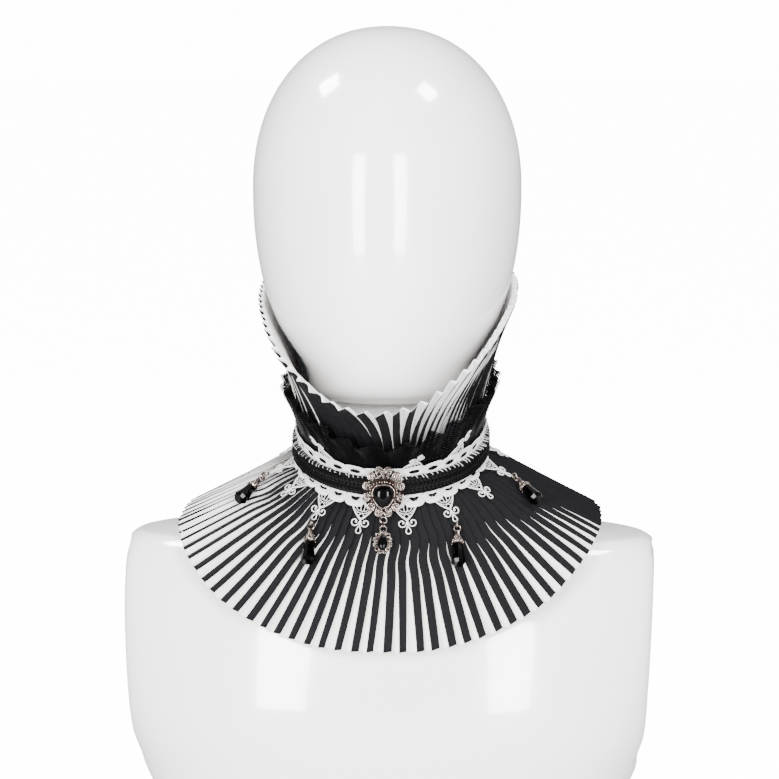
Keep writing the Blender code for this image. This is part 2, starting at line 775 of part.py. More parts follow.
def hang_on_hinge(name, pivot, pieces):
    """Parent the pieces of one moving group to an empty on its hinge."""
    hinge = bpy.data.objects.new(name, None)
    hinge.location = pivot
    bpy.context.scene.collection.objects.link(hinge)
    for piece in pieces:
        piece.data.transform(Matrix.Translation(-pivot))
        piece.parent = hinge


def brooch_place(x, forward, z):
    """Point of the brooch: forward is away from the neck, the foot stands out a little."""
    tilt = math.radians(BROOCH_TILT_DEG)
    y = -BROOCH_BACK - forward * math.cos(tilt) + z * math.sin(tilt)
    return Vector((x, y, BROOCH_Z + z * math.cos(tilt) + forward * math.sin(tilt)))


def lobed_oval(half_width, half_height, lobes, count):
    """Outline of an oval with a row of small lobes."""
    outline = []
    for k in range(count):
        turn = 2 * math.pi * k / count
        lobe = 1.0 + LOBE_SHARE * math.cos(lobes * turn)
        outline.append((half_width * lobe * math.cos(turn), half_height * lobe * math.sin(turn)))
    return outline


def rounded_triangle(half_width, half_height, count):
    """Outline with three soft corners, one of them pointing down."""
    outline = []
    for k in range(count):
        turn = 2 * math.pi * k / count
        bulge = 1.0 + 0.075 * math.cos(3 * (turn + math.pi / 2))
        outline.append((half_width * bulge * math.cos(turn), half_height * bulge * math.sin(turn)))
    return outline


def pear(half_width, half_height, count):
    """Outline that is round below and drawn to a point above."""
    outline = []
    for k in range(count):
        turn = 2 * math.pi * k / count
        narrow = 1.0 - PEAR_NARROW * ((1.0 + math.sin(turn)) / 2) ** 2
        outline.append((half_width * narrow * math.cos(turn), half_height * math.sin(turn)))
    return outline


def make_brooch():
    """Lobed mount with a seat ring, a loop below it and a boss that is sewn to the braid."""
    outline = lobed_oval(BROOCH_HALF_WIDTH, BROOCH_HALF_HEIGHT, BROOCH_LOBES, 3 * BROOCH_LOBES)
    frame = plate_stack("brooch_frame", outline, BROOCH_PLATE, brooch_place, "old_silver")
    braid_front = ROOT_RADIUS + BRAID_OFFSET + BRAID_WALL + SEAM
    start = Vector((0.0, -braid_front, band_height(0.0)))
    depth = BROOCH_BACK - braid_front + BOSS_OVERLAP
    boss = turned_solid("brooch_boss", ((0.0, BOSS_RADIUS), (depth, BOSS_RADIUS)), 12,
                        "old_silver", start, (0.0, -1.0, 0.0))
    join_solids(frame, boss)
    foot = BROOCH_HALF_HEIGHT * (1.0 + LOBE_SHARE)
    loop_centre = brooch_place(0.0, LOOP_FORWARD, -foot - RING_MAJOR + LUG_OVERLAP)
    loop = wire_ring("brooch_loop", loop_centre, (0.0, 1.0, 0.0), "old_silver")
    join_solids(frame, loop)
    stone = rounded_triangle(STONE_HALF_WIDTH, STONE_HALF_HEIGHT, 18)
    plate_stack("brooch_stone", stone, BROOCH_CABOCHON, brooch_place, "black_stone")
    return loop_centre


def make_pendant(loop_centre):
    """Oval drop that swings from the brooch's loop."""
    lean = surface_lean(0.0, 0.024)
    hang = Vector((0.0, -math.sin(lean), -math.cos(lean)))
    face = Vector((0.0, -math.cos(lean), math.sin(lean)))
    pivot = loop_centre + Vector((0.0, 0.0, -RING_MAJOR))
    link_centre = pivot + hang * (RING_MAJOR - 2 * RING_WIRE - SEAM)
    link = wire_ring("pendant_link", link_centre, (1.0, 0.0, 0.0), "old_silver")
    eye = link_centre + hang * RING_STEP
    centre = eye + hang * (RING_MAJOR + PENDANT_HALF_HEIGHT - LUG_OVERLAP)

    def place(x, forward, z):
        return centre + Vector((x, 0.0, 0.0)) + face * (forward - PENDANT_SET_BACK) - hang * z

    outline = lobed_oval(PENDANT_HALF_WIDTH, PENDANT_HALF_HEIGHT, PENDANT_LOBES,
                         3 * PENDANT_LOBES)
    frame = plate_stack("pendant_frame", outline, PENDANT_PLATE, place, "old_silver")
    ring = wire_ring("pendant_eye", eye, face, "old_silver")
    join_solids(frame, ring)
    outline = pear(PEAR_HALF_WIDTH, PEAR_HALF_HEIGHT, 16)
    stone = plate_stack("pendant_stone", outline, PENDANT_CABOCHON, place, "black_stone")
    hang_on_hinge("pendant_hinge", pivot, (link, frame, stone))


def surface_lean(angle, down):
    """Angle of the flounce from the vertical at one place, in radians."""
    step = on_flounce(angle, down + 0.001, 0.0) - on_flounce(angle, down - 0.001, 0.0)
    return math.atan2(math.hypot(step[0], step[1]), -step[2])


def make_drop(name, top_deg, top_down, end_deg, end_down, links):
    """Silver links, a silver cap and a black bead hung from one lace point."""
    top_clear = fold_depth(TOP_SHARE) + RING_MAJOR + RING_WIRE + 2 * SEAM
    top = Vector(on_flounce(math.radians(top_deg), top_down, top_clear))
    clear = fold_depth(END_SHARE) + BEAD_BOTTOM + 2 * SEAM
    end = Vector(on_flounce(math.radians(end_deg), end_down, clear))
    axis = (end - top).normalized()
    normal = Vector(surface_normal(flounce_base, math.radians(end_deg), end_down, 1.0))
    across = axis.cross(normal).normalized()
    facing = across.cross(axis)
    centre = top + axis * (RING_MAJOR + RING_WIRE + SEAM)
    pieces = []
    for k in range(links):
        opening = across if (links - k) % 2 else facing
        pieces.append(wire_ring(f"drop_{name}_link_{k + 1}", centre, opening, "old_silver"))
        centre = centre + axis * RING_STEP
    eye = wire_ring("eye", centre, facing, "old_silver")
    base = centre + axis * (RING_MAJOR - CAP_OVERLAP)
    cap_rows = [(along * CAP_LENGTH, share * CAP_RADIUS) for along, share in CAP_TURNED]
    cap = turned_solid(f"drop_{name}_cap", cap_rows, BEAD_SIDES, "old_silver", base, axis, facing)
    pieces.append(join_solids(cap, eye))
    start = base + axis * (CAP_LENGTH + SEAM)
    bead_rows = [(along * BEAD_LENGTH, radius) for along, radius in BEAD_TURNED]
    bead = turned_solid(f"drop_{name}_bead", bead_rows, BEAD_SIDES, "black_stone", start, axis,
                        facing)
    pieces.append(bead)
    hang_on_hinge(f"drop_{name}_hinge", top, pieces)


clear_scene()
make_form()
make_flounce()
make_ruff()
make_net()
make_lower_lace()
make_upper_lace()
make_braid()
make_clasp()
make_pendant(make_brooch())
for row in DROPS:
    make_drop(*row)
bpy.context.view_layer.update()
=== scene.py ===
"""Stand collar of pleated trim, net, lace and braid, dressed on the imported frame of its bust.

Metres, +Z up, front towards -Y. Angles round the neck are 0 at the centre front, positive
towards +X, and 180 degrees at the centre back, where the collar opens.
"""
import math

import bpy
import numpy as np
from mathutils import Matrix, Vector


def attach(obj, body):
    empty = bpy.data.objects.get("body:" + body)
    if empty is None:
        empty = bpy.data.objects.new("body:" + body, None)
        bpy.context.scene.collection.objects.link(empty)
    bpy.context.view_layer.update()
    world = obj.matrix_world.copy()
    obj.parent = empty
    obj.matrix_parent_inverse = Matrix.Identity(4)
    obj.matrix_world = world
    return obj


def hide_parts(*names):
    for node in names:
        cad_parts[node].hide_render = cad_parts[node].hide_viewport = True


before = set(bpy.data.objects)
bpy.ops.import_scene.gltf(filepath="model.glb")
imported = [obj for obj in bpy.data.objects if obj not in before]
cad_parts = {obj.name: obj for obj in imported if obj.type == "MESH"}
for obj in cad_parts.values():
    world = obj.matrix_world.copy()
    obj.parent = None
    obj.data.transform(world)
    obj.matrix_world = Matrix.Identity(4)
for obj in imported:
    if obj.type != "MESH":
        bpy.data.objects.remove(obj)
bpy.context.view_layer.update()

# Bust form. The real one is a hollow glass-fibre shell with a sprayed white gel coat, rubbed to
# a mirror gloss: a chest with flat cut shoulders, a plain neck and a faceless egg head. It is
# laid up in one mould, so it is a single smooth skin with no seam that shows.
# Columns: z, half width, half width at the arm cut, front, back, squareness
TORSO = np.array((
    (0.000, 0.118, 0.160, 0.070, 0.074, 2.6),
    (0.008, 0.129, 0.160, 0.077, 0.081, 2.6),
    (0.024, 0.139, 0.160, 0.084, 0.088, 2.6),
    (0.044, 0.148, 0.1465, 0.089, 0.092, 2.6),
    (0.062, 0.156, 0.1500, 0.091, 0.094, 2.6),
    (0.090, 0.163, 0.1520, 0.090, 0.095, 2.5),
    (0.120, 0.167, 0.1535, 0.083, 0.093, 2.4),
    (0.148, 0.166, 0.1545, 0.072, 0.085, 2.3),
    (0.163, 0.162, 0.1548, 0.062, 0.077, 2.2),
    (0.172, 0.156, 0.1540, 0.054, 0.071, 2.2),
    (0.1762, 0.1490, 0.160, 0.049, 0.066, 2.2),
    (0.1775, 0.1330, 0.160, 0.047, 0.064, 2.2),
    (0.1795, 0.1190, 0.160, 0.046, 0.062, 2.1),
    (0.1850, 0.1030, 0.160, 0.046, 0.059, 2.0),
    (0.1930, 0.0800, 0.160, 0.046, 0.055, 2.0),
    (0.2000, 0.0620, 0.160, 0.0465, 0.051, 2.0),
    (0.2070, 0.0495, 0.160, 0.0470, 0.0490, 2.0),
    (0.2140, 0.0476, 0.160, 0.0473, 0.0478, 2.0),
))
NECK_RADIUS = 0.0475
HEAD_HALF_WIDTH, HEAD_HALF_DEPTH = 0.0768, 0.093
HEAD_Y, HEAD_Z, HEAD_UP, HEAD_DOWN = -0.030, 0.381, 0.092, 0.122
HEAD_SQUARE, JAW_SQUARE, CHIN_SQUARE = 2.15, 2.2, 3.3
HEAD_SHIFT_FROM, HEAD_SHIFT_OVER = 0.256, 0.050
ARM_EDGE, CHIN_BLEND = 0.0016, 0.0030


def full_turn(count):
    """Even angles once round, in radians."""
    return np.linspace(0, 2 * math.pi, count, endpoint=False)


def unit(vector):
    """Vectors of length 1."""
    return vector / np.maximum(np.linalg.norm(vector, axis=-1, keepdims=True), 1e-12)


def smooth_through(places, values, at):
    """Cubic curve through values at rising places: between two of them it is
    (1+2t)(1-t)² v0 + t²(3-2t) v1 + span (t(1-t)² s0 + t²(t-1) s1), with central slopes s."""
    places, values = np.asarray(places, float), np.asarray(values, float)
    slopes = np.gradient(values, places)
    slopes[0] = slopes[-1] = 0.0
    at = np.clip(at, places[0], places[-1])
    i = np.clip(np.searchsorted(places, at) - 1, 0, len(places) - 2)
    span = places[i + 1] - places[i]
    t = (at - places[i]) / span
    return ((1 + 2 * t) * (1 - t) ** 2 * values[i] + t * t * (3 - 2 * t) * values[i + 1]
            + span * (t * (1 - t) ** 2 * slopes[i] + t * t * (t - 1) * slopes[i + 1]))


def smooth_max(a, b, width):
    """The larger of two values, rounded off where they meet: m + w ln(1 + e^(-|a-b|/w))."""
    return np.maximum(a, b) + width * np.log1p(np.exp(-np.abs(a - b) / width))


def section(z, half_width, arm_cut, middle, front, back, square, count):
    """Rings of a superellipse |x/a|^n + |y/b|^n = 1 whose sides are cut off at arm_cut."""
    turn = full_turn(count)[None, :]
    c, s = np.cos(turn), np.sin(turn)
    n = square[:, None]
    bow = (np.abs(c) ** n + np.abs(s) ** n) ** (-1 / n)
    depth = np.where(s < 0, (front + middle)[:, None], (back - middle)[:, None])
    x = half_width[:, None] * bow * c
    x = np.sign(x) * -smooth_max(-np.abs(x), -arm_cut[:, None], ARM_EDGE)
    x = np.where(np.abs(c) < 1e-9, 0.0, x)
    return np.stack([x, middle[:, None] + depth * bow * s, np.broadcast_to(z[:, None], x.shape)],
                    axis=-1)


def torso_rings(count, around):
    """Torso sections at even steps of the distance along the table's own outline."""
    z, half_width, arm_cut, front, back, square = TORSO.T
    along = np.concatenate([[0.0], np.cumsum(np.hypot(np.diff(z), np.diff(half_width)))])
    at = np.linspace(0.0, along[-1], count)
    columns = [np.interp(at, along, z)]
    columns += [smooth_through(along, v, at) for v in (half_width, arm_cut, front, back, square)]
    z, half_width, arm_cut, front, back, square = columns
    return section(z, half_width, arm_cut, 0.0 * z, front, back, square, around)


def head_rings(count, around):
    """Neck, and an egg whose half width at height z is W (1 - (|z - zc| / h)^n)^(1/n), with
    a squarer n below, and the squarest at the chin."""
    z = TORSO[-1, 0] + (HEAD_Z + HEAD_UP - TORSO[-1, 0]) * np.sin(
        np.linspace(0.0, math.pi / 2, count + 1))[1:-1]
    drop = np.clip((HEAD_Z - z) / HEAD_DOWN, 0.0, 1.0)
    rise = np.clip((z - HEAD_Z) / HEAD_UP, 0.0, 1.0)
    crown = (1 - rise ** HEAD_SQUARE) ** (1 / HEAD_SQUARE)
    full = np.where(z < HEAD_Z, (1 - drop ** JAW_SQUARE) ** (1 / JAW_SQUARE), crown)
    chin = np.where(z < HEAD_Z, (1 - drop ** CHIN_SQUARE) ** (1 / CHIN_SQUARE), crown)
    share = np.clip((z - HEAD_SHIFT_FROM) / HEAD_SHIFT_OVER, 0.0, 1.0)
    neck = np.where(z < HEAD_Z, NECK_RADIUS, 0.0)
    half_width = smooth_max(HEAD_HALF_WIDTH * full, neck, CHIN_BLEND)
    front = smooth_max(HEAD_HALF_DEPTH * chin - HEAD_Y, neck, CHIN_BLEND)
    back = smooth_max(HEAD_HALF_DEPTH * full + HEAD_Y, neck, CHIN_BLEND)
    over = z >= HEAD_Z
    half_width = np.where(over, HEAD_HALF_WIDTH * full, half_width)
    front = np.where(over, HEAD_HALF_DEPTH * full - HEAD_Y, front)
    back = np.where(over, HEAD_HALF_DEPTH * full + HEAD_Y, back)
    return section(z, half_width, 1.0 + 0 * z, HEAD_Y * share, front, back, 2.0 + 0 * z, around)


def quads(rows, columns, wrap=False, flip=False):
    """Corner numbers of a grid's quads; wrap joins the last column to the first."""
    i = np.arange(rows - 1)[:, None]
    j = np.arange(columns if wrap else columns - 1)[None, :]
    k = (j + 1) % columns
    faces = np.stack([i * columns + j, i * columns + k, (i + 1) * columns + k,
                      (i + 1) * columns + j], axis=-1).reshape(-1, 4)
    return faces[:, ::-1] if flip else faces


def put(name, points, faces, finishes, body="collar_on_form", uv=None, which=None, smooth=True):
    """Mesh object from points and faces; uv holds a row a point, which a finish a face."""
    mesh = bpy.data.meshes.new(name)
    mesh.from_pydata(np.asarray(points).reshape(-1, 3).tolist(), [],
                     faces if isinstance(faces, list) else faces.tolist())
    if uv is not None:
        corner = np.empty(len(mesh.loops), np.int32)
        mesh.loops.foreach_get("vertex_index", corner)
        layer = mesh.uv_layers.new(name="cut")
        layer.data.foreach_set("uv", np.asarray(uv, np.float32).reshape(-1, 2)[corner].ravel())
    for finish in finishes:
        mesh.materials.append(finish)
    if which is not None:
        mesh.polygons.foreach_set("material_index", np.asarray(which, np.int32))
    mesh.polygons.foreach_set("use_smooth", np.full(len(mesh.polygons), smooth))
    mesh.update()
    piece = bpy.data.objects.new(name, mesh)
    bpy.context.scene.collection.objects.link(piece)
    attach(piece, body)
    return piece


def node(tree, kind, inputs=None, **settings):
    """Shader node with its settings; inputs maps a socket to a value or to another output."""
    made = tree.nodes.new(kind)
    for key, value in settings.items():
        setattr(made, key, value)
    for key, value in (inputs or {}).items():
        if isinstance(value, bpy.types.NodeSocket):
            tree.links.new(value, made.inputs[key])
        else:
            made.inputs[key].default_value = value
    return made


def principled(name, colour, roughness, **sockets):
    """Material with one Principled shader, whose plain values are set on its own sockets."""
    made = bpy.data.materials.new(name)
    made.use_nodes = True
    shader = made.node_tree.nodes["Principled BSDF"]
    shader.inputs["Base Color"].default_value = (*colour, 1.0)
    shader.inputs["Roughness"].default_value = roughness
    for key, value in sockets.items():
        shader.inputs[key.replace("_", " ")].default_value = value
    return made, made.node_tree, shader


def join(tree, made, **outputs):
    """Link outputs to the sockets of a node, by name."""
    for key, output in outputs.items():
        tree.links.new(output, made.inputs[key.replace("_", " ")])


def maths(tree, operation, *values):
    """Result of a Math node."""
    return node(tree, "ShaderNodeMath", dict(enumerate(values)), operation=operation).outputs[0]


def spread(tree, value, low, high, from_low=0.0, from_high=1.0):
    """Value moved from one range to another."""
    return node(tree, "ShaderNodeMapRange", {"Value": value, "From Min": from_low,
                                             "From Max": from_high, "To Min": low,
                                             "To Max": high}).outputs["Result"]


def mixed(tree, factor, low, high):
    """Colour between two colours."""
    return node(tree, "ShaderNodeMix", {"Factor": factor, "A": low, "B": high},
                data_type="RGBA").outputs["Result"]


def noise(tree, scale, detail, place=None):
    """Noise over the object's own coordinates, or over a given place."""
    if place is None:
        place = node(tree, "ShaderNodeTexCoord").outputs["Object"]
    return node(tree, "ShaderNodeTexNoise", {"Vector": place, "Scale": scale,
                                             "Detail": detail}).outputs["Fac"]


def bumped(tree, height, strength, distance, **under):
    """Normal of a bump, over another normal if one is given."""
    return node(tree, "ShaderNodeBump", {"Height": height, "Strength": strength,
                                         "Distance": distance, **under}).outputs["Normal"]


def gel_coat():
    """White gloss with the faint long waves of a hand-rubbed shell."""
    made, tree, shader = principled("gel_coat", (0.80, 0.790, 0.782), 0.16,
                                    Coat_Weight=0.6, Coat_Roughness=0.05, Specular_IOR_Level=0.5)
    wave = noise(tree, 9.0, 1.0)
    slow = bumped(tree, wave, 0.10, 0.01)
    join(tree, shader, Roughness=spread(tree, wave, 0.10, 0.24),
         Normal=bumped(tree, noise(tree, 260.0, 2.0), 0.015, 0.001, Normal=slow))
    return made


AROUND = 144
rings = np.concatenate([torso_rings(110, AROUND), head_rings(120, AROUND)])
crown = np.array([[0.0, HEAD_Y, HEAD_Z + HEAD_UP]])
last = (len(rings) - 1) * AROUND
turns = np.arange(AROUND)
top_fan = np.stack([last + turns, last + (turns + 1) % AROUND,
                    np.full(AROUND, last + AROUND)], axis=-1)
form = put("gloss_bust", np.concatenate([rings.reshape(-1, 3), crown]),
           [turns[::-1].tolist(), *quads(len(rings), AROUND, wrap=True).tolist(),
            *top_fan.tolist()], [gel_coat()])
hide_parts("bust_form")

# Lower flounce. A bought pleated trim: thin crisp cotton printed in black and white bands, then
# knife pleated by heat so that each black band lies against the outer edge of its pleat. It is
# sewn to the neck band with the pleats shut flat, and fans open over the shoulders to its hem.
BAND_Z, BAND_TILT, ROOT_RADIUS, SEAM, BACK_GAP_DEG = 0.229, 0.018, 0.0505, 0.0003, 1.0
PLEATS = 84
LONG_FACE, SHORT_FACE = 0.0078, 0.0045
RIDGE_AT = LONG_FACE / (LONG_FACE + SHORT_FACE)
WHITE_SHARE, STAND_WHITE_SHARE, PRINT_OVER = 0.36, 0.30, 0.045
OPEN_RIDGE = 0.71
FOLD_AT_NECK, FOLD_AT_EDGE = 0.0015, 0.0037
FLOUNCE_LEG, FLOUNCE_BEND = 0.0057, 0.007
CLOTH, FOLD_SOFT, WEAVE_PITCH, PRINT_WANDER = 0.00012, 0.10, 0.0005, 0.012
GAP_UNEVEN, FOLD_UNEVEN, DEPTH_UNEVEN, OPEN_UNEVEN = 0.035, 0.05, 0.06, 0.022
# Points of the hem from the centre front to the centre back: x, y, z
HEM = np.array((
    (0.0000, -0.0960, 0.1230),
    (0.0330, -0.0950, 0.1250),
    (0.0640, -0.0880, 0.1335),
    (0.0940, -0.0780, 0.1500),
    (0.1120, -0.0600, 0.1675),
    (0.1205, -0.0330, 0.1785),
    (0.1225, 0.0020, 0.1830),
    (0.1180, 0.0400, 0.1850),
    (0.0950, 0.0830, 0.1850),
    (0.0550, 0.1100, 0.1830),
    (0.0000, 0.1190, 0.1820),
))


def band_height(angle):
    """Height of the neck band: z0 - tilt cos(angle)."""
    return BAND_Z - BAND_TILT * np.cos(angle)


def neck_point(angle):
    """Point of the sewing line, a tilted circle."""
    return np.stack([ROOT_RADIUS * np.sin(angle), -ROOT_RADIUS * np.cos(angle),
                     band_height(angle)], axis=-1)


def hem_point(angle):
    """Point of the hem's smooth curve, at the share |angle| / pi of its length."""
    along = np.concatenate([[0.0], np.cumsum(np.linalg.norm(np.diff(HEM, axis=0), axis=1))])
    slopes = np.gradient(HEM, along, axis=0)
    slopes[0] = (np.linalg.norm(slopes[0]), 0.0, 0.0)
    slopes[-1] = (-np.linalg.norm(slopes[-1]), 0.0, 0.0)
    share = np.clip(np.abs(angle) / math.pi * along[-1], 0.0, along[-1])
    i = np.clip(np.searchsorted(along, share) - 1, 0, len(along) - 2)
    span = (along[i + 1] - along[i])[..., None]
    t = (share - along[i])[..., None] / span
    point = ((1 + 2 * t) * (1 - t) ** 2 * HEM[i] + t * (1 - t) ** 2 * span * slopes[i]
             + t * t * (3 - 2 * t) * HEM[i + 1] + t * t * (t - 1) * span * slopes[i + 1])
    point[..., 0] *= np.sign(angle)
    return point


def flounce_run(angle):
    """Direction outward, turn of the bend and straight length of the flounce at an angle."""
    reach = hem_point(angle) - neck_point(angle)
    across = np.hypot(reach[..., 0], reach[..., 1])
    outward = np.stack([reach[..., 0] / across, reach[..., 1] / across, 0 * across], axis=-1)
    to_x, to_z = across - FLOUNCE_BEND, reach[..., 2] + FLOUNCE_LEG
    straight = np.sqrt(to_x ** 2 + to_z ** 2 - FLOUNCE_BEND ** 2)
    turn = math.pi / 2 + np.arctan2(to_z, to_x) + np.arctan2(FLOUNCE_BEND, straight)
    return outward, turn, straight


def flounce_base(angle, down):
    """Flounce without folds: straight down the band, round an arc, straight to the hem."""
    angle, down = np.broadcast_arrays(np.asarray(angle, float), np.asarray(down, float))
    outward, turn, _ = flounce_run(angle)
    on_leg = np.minimum(down, FLOUNCE_LEG)
    on_bend = np.clip((down - FLOUNCE_LEG) / FLOUNCE_BEND, 0.0, turn)
    on_line = np.maximum(down - FLOUNCE_LEG - FLOUNCE_BEND * turn, 0.0)
    x = FLOUNCE_BEND * (1 - np.cos(on_bend)) + on_line * np.sin(turn)
    z = -on_leg - FLOUNCE_BEND * np.sin(on_bend) - on_line * np.cos(turn)
    return neck_point(angle) + outward * x[..., None] + np.stack([0 * z, 0 * z, z], axis=-1)


def flounce_length(angle):
    """Length from the sewing line to the hem."""
    _, turn, straight = flounce_run(angle)
    return FLOUNCE_LEG + FLOUNCE_BEND * turn + straight


def lifted(base, side, angle, along, away):
    """Points of a base surface moved out along its unit normal n, and n itself, where n is the
    cross product of the way along and the way round, times side."""
    angle, along = np.broadcast_arrays(np.asarray(angle, float), np.asarray(along, float))
    small = 1e-4
    around = base(angle + small, along) - base(angle - small, along)
    onward = base(angle, along + small) - base(angle, along - small)
    normal = unit(side * np.cross(onward, around))
    return base(angle, along) + normal * np.broadcast_to(away, angle.shape)[..., None], normal


def on_flounce(angle, down, away):
    """Points and normals over the flounce."""
    return lifted(flounce_base, 1.0, angle, down, away)


FOLD_STEPS = np.array((0.0, 0.03, 0.13, 0.25, 0.37, 0.49, 0.604, RIDGE_AT, 0.664, 0.76, 0.87,
                       0.97))
dice = np.random.default_rng(7)


def pleat_places(share, f, number, q, jitter):
    """Where each column of the pleated strip lies at each row.

    q runs along the cloth of one pleat. The fold line lies at f of a pitch, past 1 where the
    pleats overlap: place = f q / r before it and 1 - (1 - f)(1 - q) / (1 - r) after it. Gives
    the place in pitches and the height as a share of the fold's depth.
    """
    near_end = np.clip((PLEATS - 1 - number) / 2, 0.0, 1.0)
    f = OPEN_RIDGE + (f - OPEN_RIDGE) * near_end
    up = q < RIDGE_AT
    rise = np.where(up, q / RIDGE_AT, (1 - q) / (1 - RIDGE_AT))
    place = np.where(up, f * rise, 1 - (1 - f) * rise)
    low, high = jitter[0][number + (~up)], jitter[1][number]
    place = place + share * ((1 - rise) * low + rise * high)
    return number + place, rise


def pleated(base, side, rows, lengths, depth, turned, bend, opened, slide):
    """Grid of points and UVs of a pleated strip, and the share of the cloth's thickness, which
    goes to a tenth at the folds; rows are shares of the way to the edge. opened gives the
    place f of the fold line and slide how far the print has moved over it."""
    reach = math.pi - math.radians(BACK_GAP_DEG)
    step = 2 * reach / PLEATS
    number = np.append(np.repeat(np.arange(PLEATS), len(FOLD_STEPS)), PLEATS - 1)
    q = np.append(np.tile(FOLD_STEPS, PLEATS), 1.0)
    jitter = (GAP_UNEVEN * dice.standard_normal(PLEATS + 1),
              FOLD_UNEVEN * dice.standard_normal(PLEATS))
    swell = 1 + DEPTH_UNEVEN * dice.standard_normal(PLEATS)
    late = OPEN_UNEVEN * dice.standard_normal(PLEATS)
    middle = -reach + (number + q) * step
    share = rows[:, None]
    along = lengths(middle, share)
    f = opened(np.degrees(middle), share + late[number] * (share < 1))
    place, rise = pleat_places(share, f, number, q, jitter)
    angle = -reach + place * step + bend(middle, along)
    height = (1 - rise if turned else rise) * depth(share) * swell[number]
    points, _ = lifted(base, side, angle, along, height)
    print_place = (RIDGE_AT - (number + q) if turned else number + q) - slide(
        np.degrees(middle), share)
    uv = np.stack([np.broadcast_to(print_place, angle.shape),
                   np.broadcast_to(along, angle.shape)], axis=-1)
    fold = np.minimum(np.abs(q - RIDGE_AT), np.minimum(q, 1 - q))
    return points, uv, CLOTH * np.clip(fold / FOLD_SOFT, 0.1, 1.0)[None, :, None]


def grid_normals(points, side):
    """Unit normals of a grid from the differences between neighbouring points."""
    return unit(side * np.cross(np.gradient(points, axis=0), np.gradient(points, axis=1)))


def wall(name, outer, inner, uv, finishes, side):
    """Closed wall between two grids, with the second finish on the inner face and edges."""
    rows, columns = outer.shape[:2]
    shift = rows * columns
    face = quads(rows, columns, flip=side > 0)
    border = np.concatenate([np.arange(columns), np.arange(1, rows) * columns + columns - 1,
                             (rows - 1) * columns + np.arange(columns - 2, -1, -1),
                             np.arange(rows - 2, 0, -1) * columns])
    after = np.roll(border, -1)
    rim = np.stack([after, border, border + shift, after + shift], axis=-1)
    rim = rim[:, ::-1] if side > 0 else rim
    faces = np.concatenate([face, face[:, ::-1] + shift, rim])
    which = np.concatenate([np.zeros(len(face)), np.full(len(face) + len(rim),
                                                         len(finishes) - 1)])
    return put(name, np.concatenate([outer.reshape(-1, 3), inner.reshape(-1, 3)]), faces,
               finishes, uv=np.concatenate([uv.reshape(-1, 2)] * 2), which=which)


def fold_depth(share):
    """Height of the pleats, rising from the band to the edge."""
    return FOLD_AT_NECK + (FOLD_AT_EDGE - FOLD_AT_NECK) * np.clip(share, 0.0, 1.0)


def group_of(name, *sockets):
    """Node group with sockets of (name, kind, way), and the outputs of its input node."""
    group = bpy.data.node_groups.new(name, "ShaderNodeTree")
    for socket, kind, way in sockets:
        group.interface.new_socket(name=socket, in_out=way, socket_type="NodeSocket" + kind)
    return group, node(group, "NodeGroupInput").outputs


def weave_group():
    """Plain weave: height = |sin(pi x / p)| |sin(pi y / p)|, with uneven threads for shade."""
    group, given = group_of("weave", ("Across", "Float", "INPUT"), ("Along", "Float", "INPUT"),
                            ("Pitch", "Float", "INPUT"), ("Height", "Float", "OUTPUT"),
                            ("Shade", "Float", "OUTPUT"))
    threads = []
    for way in ("Across", "Along"):
        turn = maths(group, "MULTIPLY", maths(group, "DIVIDE", given[way], given["Pitch"]), math.pi)
        threads.append(maths(group, "ABSOLUTE", maths(group, "SINE", turn)))
    at = node(group, "ShaderNodeCombineXYZ", {"X": given["Across"], "Y": given["Along"]})
    join(group, node(group, "NodeGroupOutput"), Height=maths(group, "MULTIPLY", *threads),
         Shade=noise(group, 700.0, 2.0, at.outputs[0]))
    return group


weave = weave_group()


def cut_place(tree):
    """The two parts of a piece's own UV: across the cut and along it."""
    at = node(tree, "ShaderNodeUVMap", uv_map="cut")
    split = node(tree, "ShaderNodeSeparateXYZ", {"Vector": at.outputs["UV"]})
    return split.outputs["X"], split.outputs["Y"]


def woven(tree, across, along, pitch, strength, shader):
    """Weave bump on a shader; gives the uneven shade of the threads."""
    cloth = node(tree, "ShaderNodeGroup", {"Across": across, "Along": along, "Pitch": pitch},
                 node_tree=weave)
    join(tree, shader, Normal=bumped(tree, cloth.outputs["Height"], strength, 0.0003))
    return cloth.outputs["Shade"]


def printed_trim(name, with_print, white_share=WHITE_SHARE):
    """Cotton of the trim: white, with the black band printed over part of each pleat."""
    made, tree, shader = principled(name, (0.78, 0.77, 0.765), 0.75, Specular_IOR_Level=0.05)
    u, v = cut_place(tree)
    shade = woven(tree, maths(tree, "MULTIPLY", u, LONG_FACE + SHORT_FACE), v, WEAVE_PITCH, 0.25,
                  shader)
    colour = mixed(tree, shade, (0.66, 0.648, 0.64, 1), (0.80, 0.788, 0.78, 1))
    if with_print:
        at = node(tree, "ShaderNodeUVMap", uv_map="cut").outputs["UV"]
        wander = spread(tree, noise(tree, 60.0, 2.0, at), -PRINT_WANDER, PRINT_WANDER)
        part = maths(tree, "ADD", maths(tree, "FRACT", u), wander)
        band = maths(tree, "MULTIPLY", maths(tree, "GREATER_THAN", part, white_share * RIDGE_AT),
                     maths(tree, "LESS_THAN", part, RIDGE_AT + PRINT_OVER))
        ink = mixed(tree, shade, (0.0034, 0.0034, 0.0040, 1), (0.0074, 0.0074, 0.0084, 1))
        colour = mixed(tree, band, colour, ink)
    join(tree, shader, Base_Color=colour)
    return made


